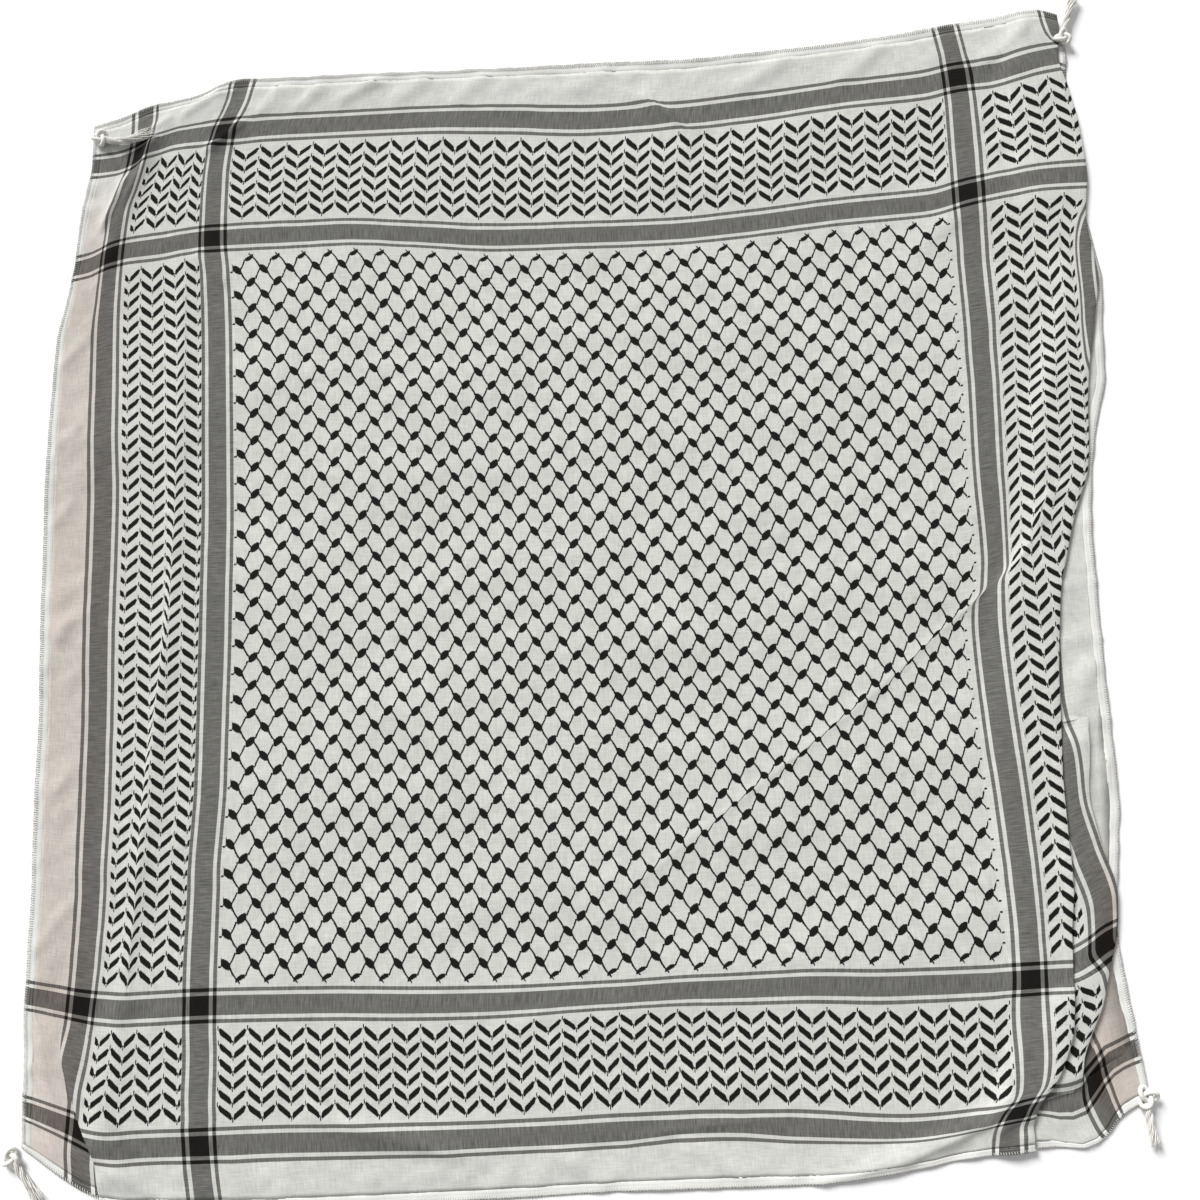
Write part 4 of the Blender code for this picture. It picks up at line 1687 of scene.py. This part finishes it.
@dataclass(frozen=True)
class Hems:
    """The narrow hems, and the overlock thread over their outer edges."""

    lie: Lie
    grid: ClothGrid
    # Section of a hem: how far inside the edge, and how high above the cloth.
    depth: tuple[float, ...] = (11.2, 9.0, 7.0, 4.5, 2.0, 0.7, 0.0)
    crown: tuple[float, ...] = (-0.30, 0.02, 0.32, 0.22, 0.38, 0.25, 0.0)
    ripple: float = 0.12
    ripple_turns: tuple[float, float] = (0.9, 0.13)
    lift: float = 0.25
    # Each stitch's points: how far inside the edge, how high, and how far along.
    stitch_depth: tuple[float, ...] = (4.2, 2.4, 0.9, -0.1, -0.35)
    stitch_rise: tuple[float, ...] = (0.55, 1.05, 0.95, 0.45, -0.25)
    stitch_slant: tuple[float, ...] = (0.0, 0.5, 1.0, 1.4, 1.6)
    stitch_step: float = 2.6
    stitch_radius: float = 0.32
    stitch_lift: float = 0.35
    stitch_wander: float = 0.25
    seed: int = 5

    def edge_line(self, side: Side) -> Array:
        """Find the mesh places along one hem.

        Args:
            side: which edge.

        Returns:
            The places along it, in rising order.
        """
        if side in (Side.LEFT, Side.RIGHT):
            return self.grid.rows()
        v = np.array([EDGE if side is Side.TOP else -EDGE])
        inside = self.grid.columns(v)[0]
        return np.concatenate(([-EDGE, -EDGE + 5.0], inside, [EDGE - 5.0, EDGE]))

    def at(self, side: Side, run: Array, depth: Array) -> tuple[Array, Array]:
        """Turn a place beside an edge into a place on the flat square.

        Args:
            side: which edge.
            run: the place along it.
            depth: how far inside it.

        Returns:
            u and v.
        """
        sign = 1.0 if side in (Side.TOP, Side.RIGHT) else -1.0
        over = sign * (EDGE - depth)
        return (over, run) if side in (Side.LEFT, Side.RIGHT) else (run, over)

    def hem(self, side: Side, material: bpy.types.Material) -> bpy.types.Object:
        """Make one hem: a crowned strip with a rounded outer fold, given a wall.

        Args:
            side: which edge of the square.
            material: the hem's finish.

        Returns:
            The hem.
        """
        run, depth = np.meshgrid(self.edge_line(side), self.depth, indexing="ij")
        u, v = self.at(side, run, depth)
        fine, coarse = self.ripple_turns
        ripple = self.ripple * np.sin(run * fine) * np.sin(run * coarse)
        points = self.lie.lay(u, v)
        points[..., 2] += CLOTH_REST + self.lift + np.array(self.crown) + ripple * (depth < HEM_WIDTH)
        faces = grid_faces(*u.shape)
        if side in (Side.TOP, Side.LEFT):
            faces = faces[:, ::-1]
        piece = new_piece(f"{side.value}_hem_fold", points * MM, faces, on_map(u, v))
        give_wall(piece, HEM_WALL, -0.6)
        dress(piece, material, "hem_cotton", f"hem_{side.value}")
        return piece

    def overlock(self, side: Side, material: bpy.types.Material) -> bpy.types.Object:
        """Make the loops of thread over one hem's edge.

        Each loop is a slanting arc from the hem's top, over the fold and down its outside.

        Args:
            side: which edge of the square.
            material: the thread's finish.

        Returns:
            All of this side's loops as one piece.
        """
        reach = EDGE if side in (Side.TOP, Side.BOTTOM) else EDGE - HEM_WIDTH
        start = np.arange(-reach + 1.5, reach - 1.5, self.stitch_step)
        random = np.random.default_rng(self.seed)
        wander = random.uniform(-self.stitch_wander, self.stitch_wander, (len(start), 1))
        run = start[:, None] + np.array(self.stitch_slant) + wander
        path = self.lie.lay(*self.at(side, run, np.broadcast_to(self.stitch_depth, run.shape)))
        path[..., 2] += CLOTH_REST + self.stitch_lift + np.array(self.stitch_rise)
        steps, sides = len(self.stitch_depth), 4
        points = tube_rings(path, np.full(path.shape[:-1], self.stitch_radius), sides)
        faces = tube_faces(len(start), steps, sides)
        uv = tube_map(points, np.linspace(0, 1, steps)[None, :])
        piece = new_piece(f"{side.value}_overlock_thread", points * MM, faces, uv)
        dress(piece, material, "hem_cotton")
        return piece


@dataclass(frozen=True)
class CornerTie:
    """A corner's knot with its tassel of yarns."""

    lie: Lie
    name: str
    knot: tuple[float, float]
    rest: float
    bend: tuple[float, float]
    end: tuple[float, float]
    knot_size: float
    brush: float
    cord: float = 2.5
    yarns: int = 36
    yarn_radius: float = 0.52
    plies: int = 3
    ply_reach: float = 1.9
    ply_turns: int = 12
    ply_core: float = 0.82
    ply_bulge: float = 0.22
    knot_rise: float = 0.95
    root: float = 1.6
    root_spread: float = 2.1
    twist: float = 7.0
    fray_start: float = 0.45
    fray_wave: float = 0.7
    seed_angle: float = 2.4
    middle: float = 3.4
    middle_fall: float = 0.4
    tip_start: float = 0.8
    tip_taper: float = 0.35

    def spot(self, x: float, y: float) -> Array:
        """Return a place of the tables in the model's frame."""
        return np.array((x - MIDDLE_X, y - MIDDLE_Y))

    def away(self) -> Array:
        """Return the direction in which the tassel leaves the knot."""
        way = np.array(self.bend) - np.array(self.knot)
        return way / np.linalg.norm(way)

    def ground(self) -> float:
        """Return the height of what the corner rests on."""
        return self.rest + (1.4 if self.rest > 0 else 0.0)

    def build_knot(self, material: bpy.types.Material) -> bpy.types.Object:
        """Make the knot: a flattened overhand knot in three-ply cord.

        Its line is a trefoil, x = sin t + 2 sin 2t, y = cos t - 2 cos 2t, z = -sin 3t, and
        its section is a circle with three grooves that turn along it.

        Args:
            material: the yarn's finish.

        Returns:
            The knot.
        """
        steps, sides = 150, 14
        t = np.arange(steps) * 2 * math.pi / steps
        way = self.away()
        flat = np.stack((np.sin(t) + 2 * np.sin(2 * t), np.cos(t) - 2 * np.cos(2 * t)), axis=-1)
        turned = np.stack((flat @ way, flat @ (-way[1], way[0])), axis=-1) * self.knot_size
        height = -np.sin(3 * t) * self.cord * self.knot_rise
        centre = self.spot(*self.knot)
        path = np.concatenate((turned + centre, height[:, None]), axis=1)
        angle = np.arange(sides) * 2 * math.pi / sides
        ply = np.abs(np.cos(0.5 * self.plies * (angle[None, :] - self.ply_turns * t[:, None])))
        radius = self.cord * (self.ply_core + self.ply_bulge * ply)
        looped = np.concatenate((path[-2:], path, path[:2]))
        rings = tube_rings(looped, np.concatenate((radius[-2:], radius, radius[:2])), sides)[2:-2]
        rings[..., 2] += self.ground() - rings[..., 2].min() + 0.05
        faces = grid_faces(steps + 1, sides, round_rows=True)[:, ::-1] % (steps * sides)
        uv = np.stack(np.broadcast_arrays(t[:, None], angle[None, :]), axis=-1)
        piece = new_piece(f"{self.name}_knot_cord", rings * MM, faces, uv)
        dress(piece, material, "tassel_cotton", f"knot_{self.name}")
        return piece

    def build_tassel(self, material: bpy.types.Material) -> bpy.types.Object:
        """Make the tassel: yarns that twist together, then spread and fray at the end.

        The tassel's line is a parabola from the knot past its bend to its end. Round it each
        ply turns as a helix, and the yarns lie in each ply as seeds do in a sunflower.

        Args:
            material: the yarn's finish.

        Returns:
            The tassel.
        """
        steps, sides = 22, 6
        random = np.random.default_rng(len(self.name) + int(abs(self.knot[0])))
        start = self.spot(*self.knot) + self.away() * self.knot_size * self.root
        bend, end = self.spot(*self.bend), self.spot(*self.end)
        t = np.linspace(0.0, 1.0, steps)[None, :]
        reach = random.uniform(0.86, 1.06, (self.yarns, 1))
        s = np.clip(t * reach, 0.0, 1.06)[..., None]
        line = (1 - s) ** 2 * start + 2 * s * (1 - s) * bend + s * s * end
        slope = 2 * (1 - s) * (bend - start) + 2 * s * (end - bend)
        slope /= np.linalg.norm(slope, axis=-1, keepdims=True)
        across = np.stack((-slope[..., 1], slope[..., 0]), axis=-1)
        place = np.arange(self.yarns)[:, None]
        strand = place % self.plies
        around = place * self.seed_angle
        own = np.sqrt((place + 0.5) / self.yarns)
        loose = smooth_step((s[..., 0] - self.fray_start) / (1.0 - self.fray_start))
        bundle = self.ply_reach * (1 - loose)
        turn = self.twist * s[..., 0] * (1 - 0.6 * loose) + strand * 2 * math.pi / self.plies
        spread = own * (self.root_spread + self.brush * loose)
        wavy = np.sin(s[..., 0] * random.uniform(9, 16, (self.yarns, 1)) + around)
        wavy = self.fray_wave * loose * wavy
        side = bundle * np.cos(turn) + spread * np.cos(around + 3 * s[..., 0]) + wavy
        lift = bundle * np.sin(turn) + spread * np.sin(around + 3 * s[..., 0])
        lift = lift * (1 - 0.5 * loose)
        floor = self.ground() + 0.5
        body = self.middle - self.middle_fall * loose
        z = floor + np.maximum(body + lift, 0.0) + 0.15 * own
        path = np.concatenate((line + across * side[..., None], z[..., None]), axis=-1)
        tip = smooth_step((t - self.tip_start) / (1.0 - self.tip_start))
        radius = self.yarn_radius * (1.0 - self.tip_taper * tip) * np.ones_like(z)
        points = tube_rings(path, radius, sides)
        faces = tube_faces(self.yarns, steps, sides)
        piece = new_piece(f"{self.name}_tassel_yarns", points * MM, faces, tube_map(points, t * 4.0))
        dress(piece, material, "tassel_cotton", f"tassel_{self.name}")
        return piece


@dataclass(frozen=True)
class Studio:
    """The floor, the lights and the camera."""

    floor_half: float = 4.0
    floor_level: float = -0.0002
    floor_grey: float = 0.93
    distance: float = 1349.7
    tilt: float = 9.45
    turn: float = 2.16
    offset_x: float = 6.5
    offset_y: float = 19.9
    lens: float = 36.0
    sensor: float = 36.0
    key_strength: float = 4.2
    key_width: float = 22.0
    key_height: float = 33.0
    key_heading: float = 212.0
    air_strength: float = 0.38

    def floor(self) -> bpy.types.Object:
        """Make the plain pale surface under the cloth.

        Returns:
            The floor.
        """
        half = self.floor_half
        corners = ((-half, -half), (half, -half), (half, half), (-half, half))
        points = np.array([(x, y, self.floor_level) for x, y in corners])
        floor = new_piece("studio_floor", points, np.array(((0, 1, 2, 3),)))
        material, _, shader = new_finish("studio_floor_paint")
        shader.inputs["Base Color"].default_value = (*[self.floor_grey] * 3, 1.0)
        shader.inputs["Roughness"].default_value = 0.95
        shader.inputs["Specular IOR Level"].default_value = 0.1
        floor.data.materials.append(material)
        return floor

    def lights(self) -> None:
        """Add a broad, low light from the far left, and even light from all round."""
        data = bpy.data.lights.new("key_light", "SUN")
        data.energy = self.key_strength
        data.angle = math.radians(self.key_width)
        lamp = bpy.data.objects.new("key_light", data)
        lamp.rotation_euler = (math.radians(90.0 - self.key_height), 0.0, math.radians(self.key_heading))
        bpy.context.scene.collection.objects.link(lamp)
        world = bpy.data.worlds.new("studio_air")
        world.use_nodes = True
        world.node_tree.nodes["Background"].inputs["Color"].default_value = (1.0, 1.0, 1.0, 1.0)
        world.node_tree.nodes["Background"].inputs["Strength"].default_value = self.air_strength
        bpy.context.scene.world = world
        bpy.context.scene.view_settings.view_transform = "Standard"

    def camera(self) -> None:
        """Add the camera above the cloth, tilted a little from the front."""
        tilt, turn = math.radians(self.tilt), math.radians(self.turn)
        sin, cos = math.sin(turn), math.cos(turn)
        far = -self.distance * math.sin(tilt) - self.offset_y
        x = -self.offset_x * cos + far * sin - MIDDLE_X
        y = self.offset_x * sin + far * cos - MIDDLE_Y
        z = self.distance * math.cos(tilt)
        right = (cos, -sin, 0.0)
        up = (math.cos(tilt) * sin, math.cos(tilt) * cos, math.sin(tilt))
        back = (-math.sin(tilt) * sin, -math.sin(tilt) * cos, math.cos(tilt))
        place = (x * MM, y * MM, z * MM)
        data = bpy.data.cameras.new("camera")
        data.lens = self.lens
        data.sensor_width = self.sensor
        camera = bpy.data.objects.new("camera", data)
        rows = [[right[k], up[k], back[k], place[k]] for k in range(3)]
        camera.matrix_world = Matrix(rows + [[0, 0, 0, 1]])
        bpy.context.scene.collection.objects.link(camera)
        bpy.context.scene.camera = camera


def main() -> None:
    """Build the headscarf around the frame."""
    logging.basicConfig(level=logging.INFO, format="%(message)s")
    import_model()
    lie = Lie()
    grid = ClothGrid(lie)
    effects = Effects()
    studio = Studio()
    studio.floor()
    studio.lights()
    studio.camera()

    cloth = WovenSquare(lie, grid).build(WovenCotton().build(effects))
    hem_look = HemCotton().build(effects)
    yarn_look = YarnCotton().build(effects)
    thread = YarnCotton(name="overlock_thread_look", pale=(0.84, 0.83, 0.80), shade=(0.5, 0.46, 0.42))
    thread_look = thread.build(effects)
    hems = Hems(lie, grid)
    trim = [hems.hem(side, hem_look) for side in Side]
    trim += [hems.overlock(side, thread_look) for side in Side]
    for name, knot_x, knot_y, rest, bend_x, bend_y, end_x, end_y, size, brush in CORNERS:
        tie = CornerTie(lie, name, (knot_x, knot_y), rest, (bend_x, bend_y), (end_x, end_y), size, brush)
        trim += [tie.build_knot(yarn_look), tie.build_tassel(yarn_look)]


if __name__ == "__main__":
    main()
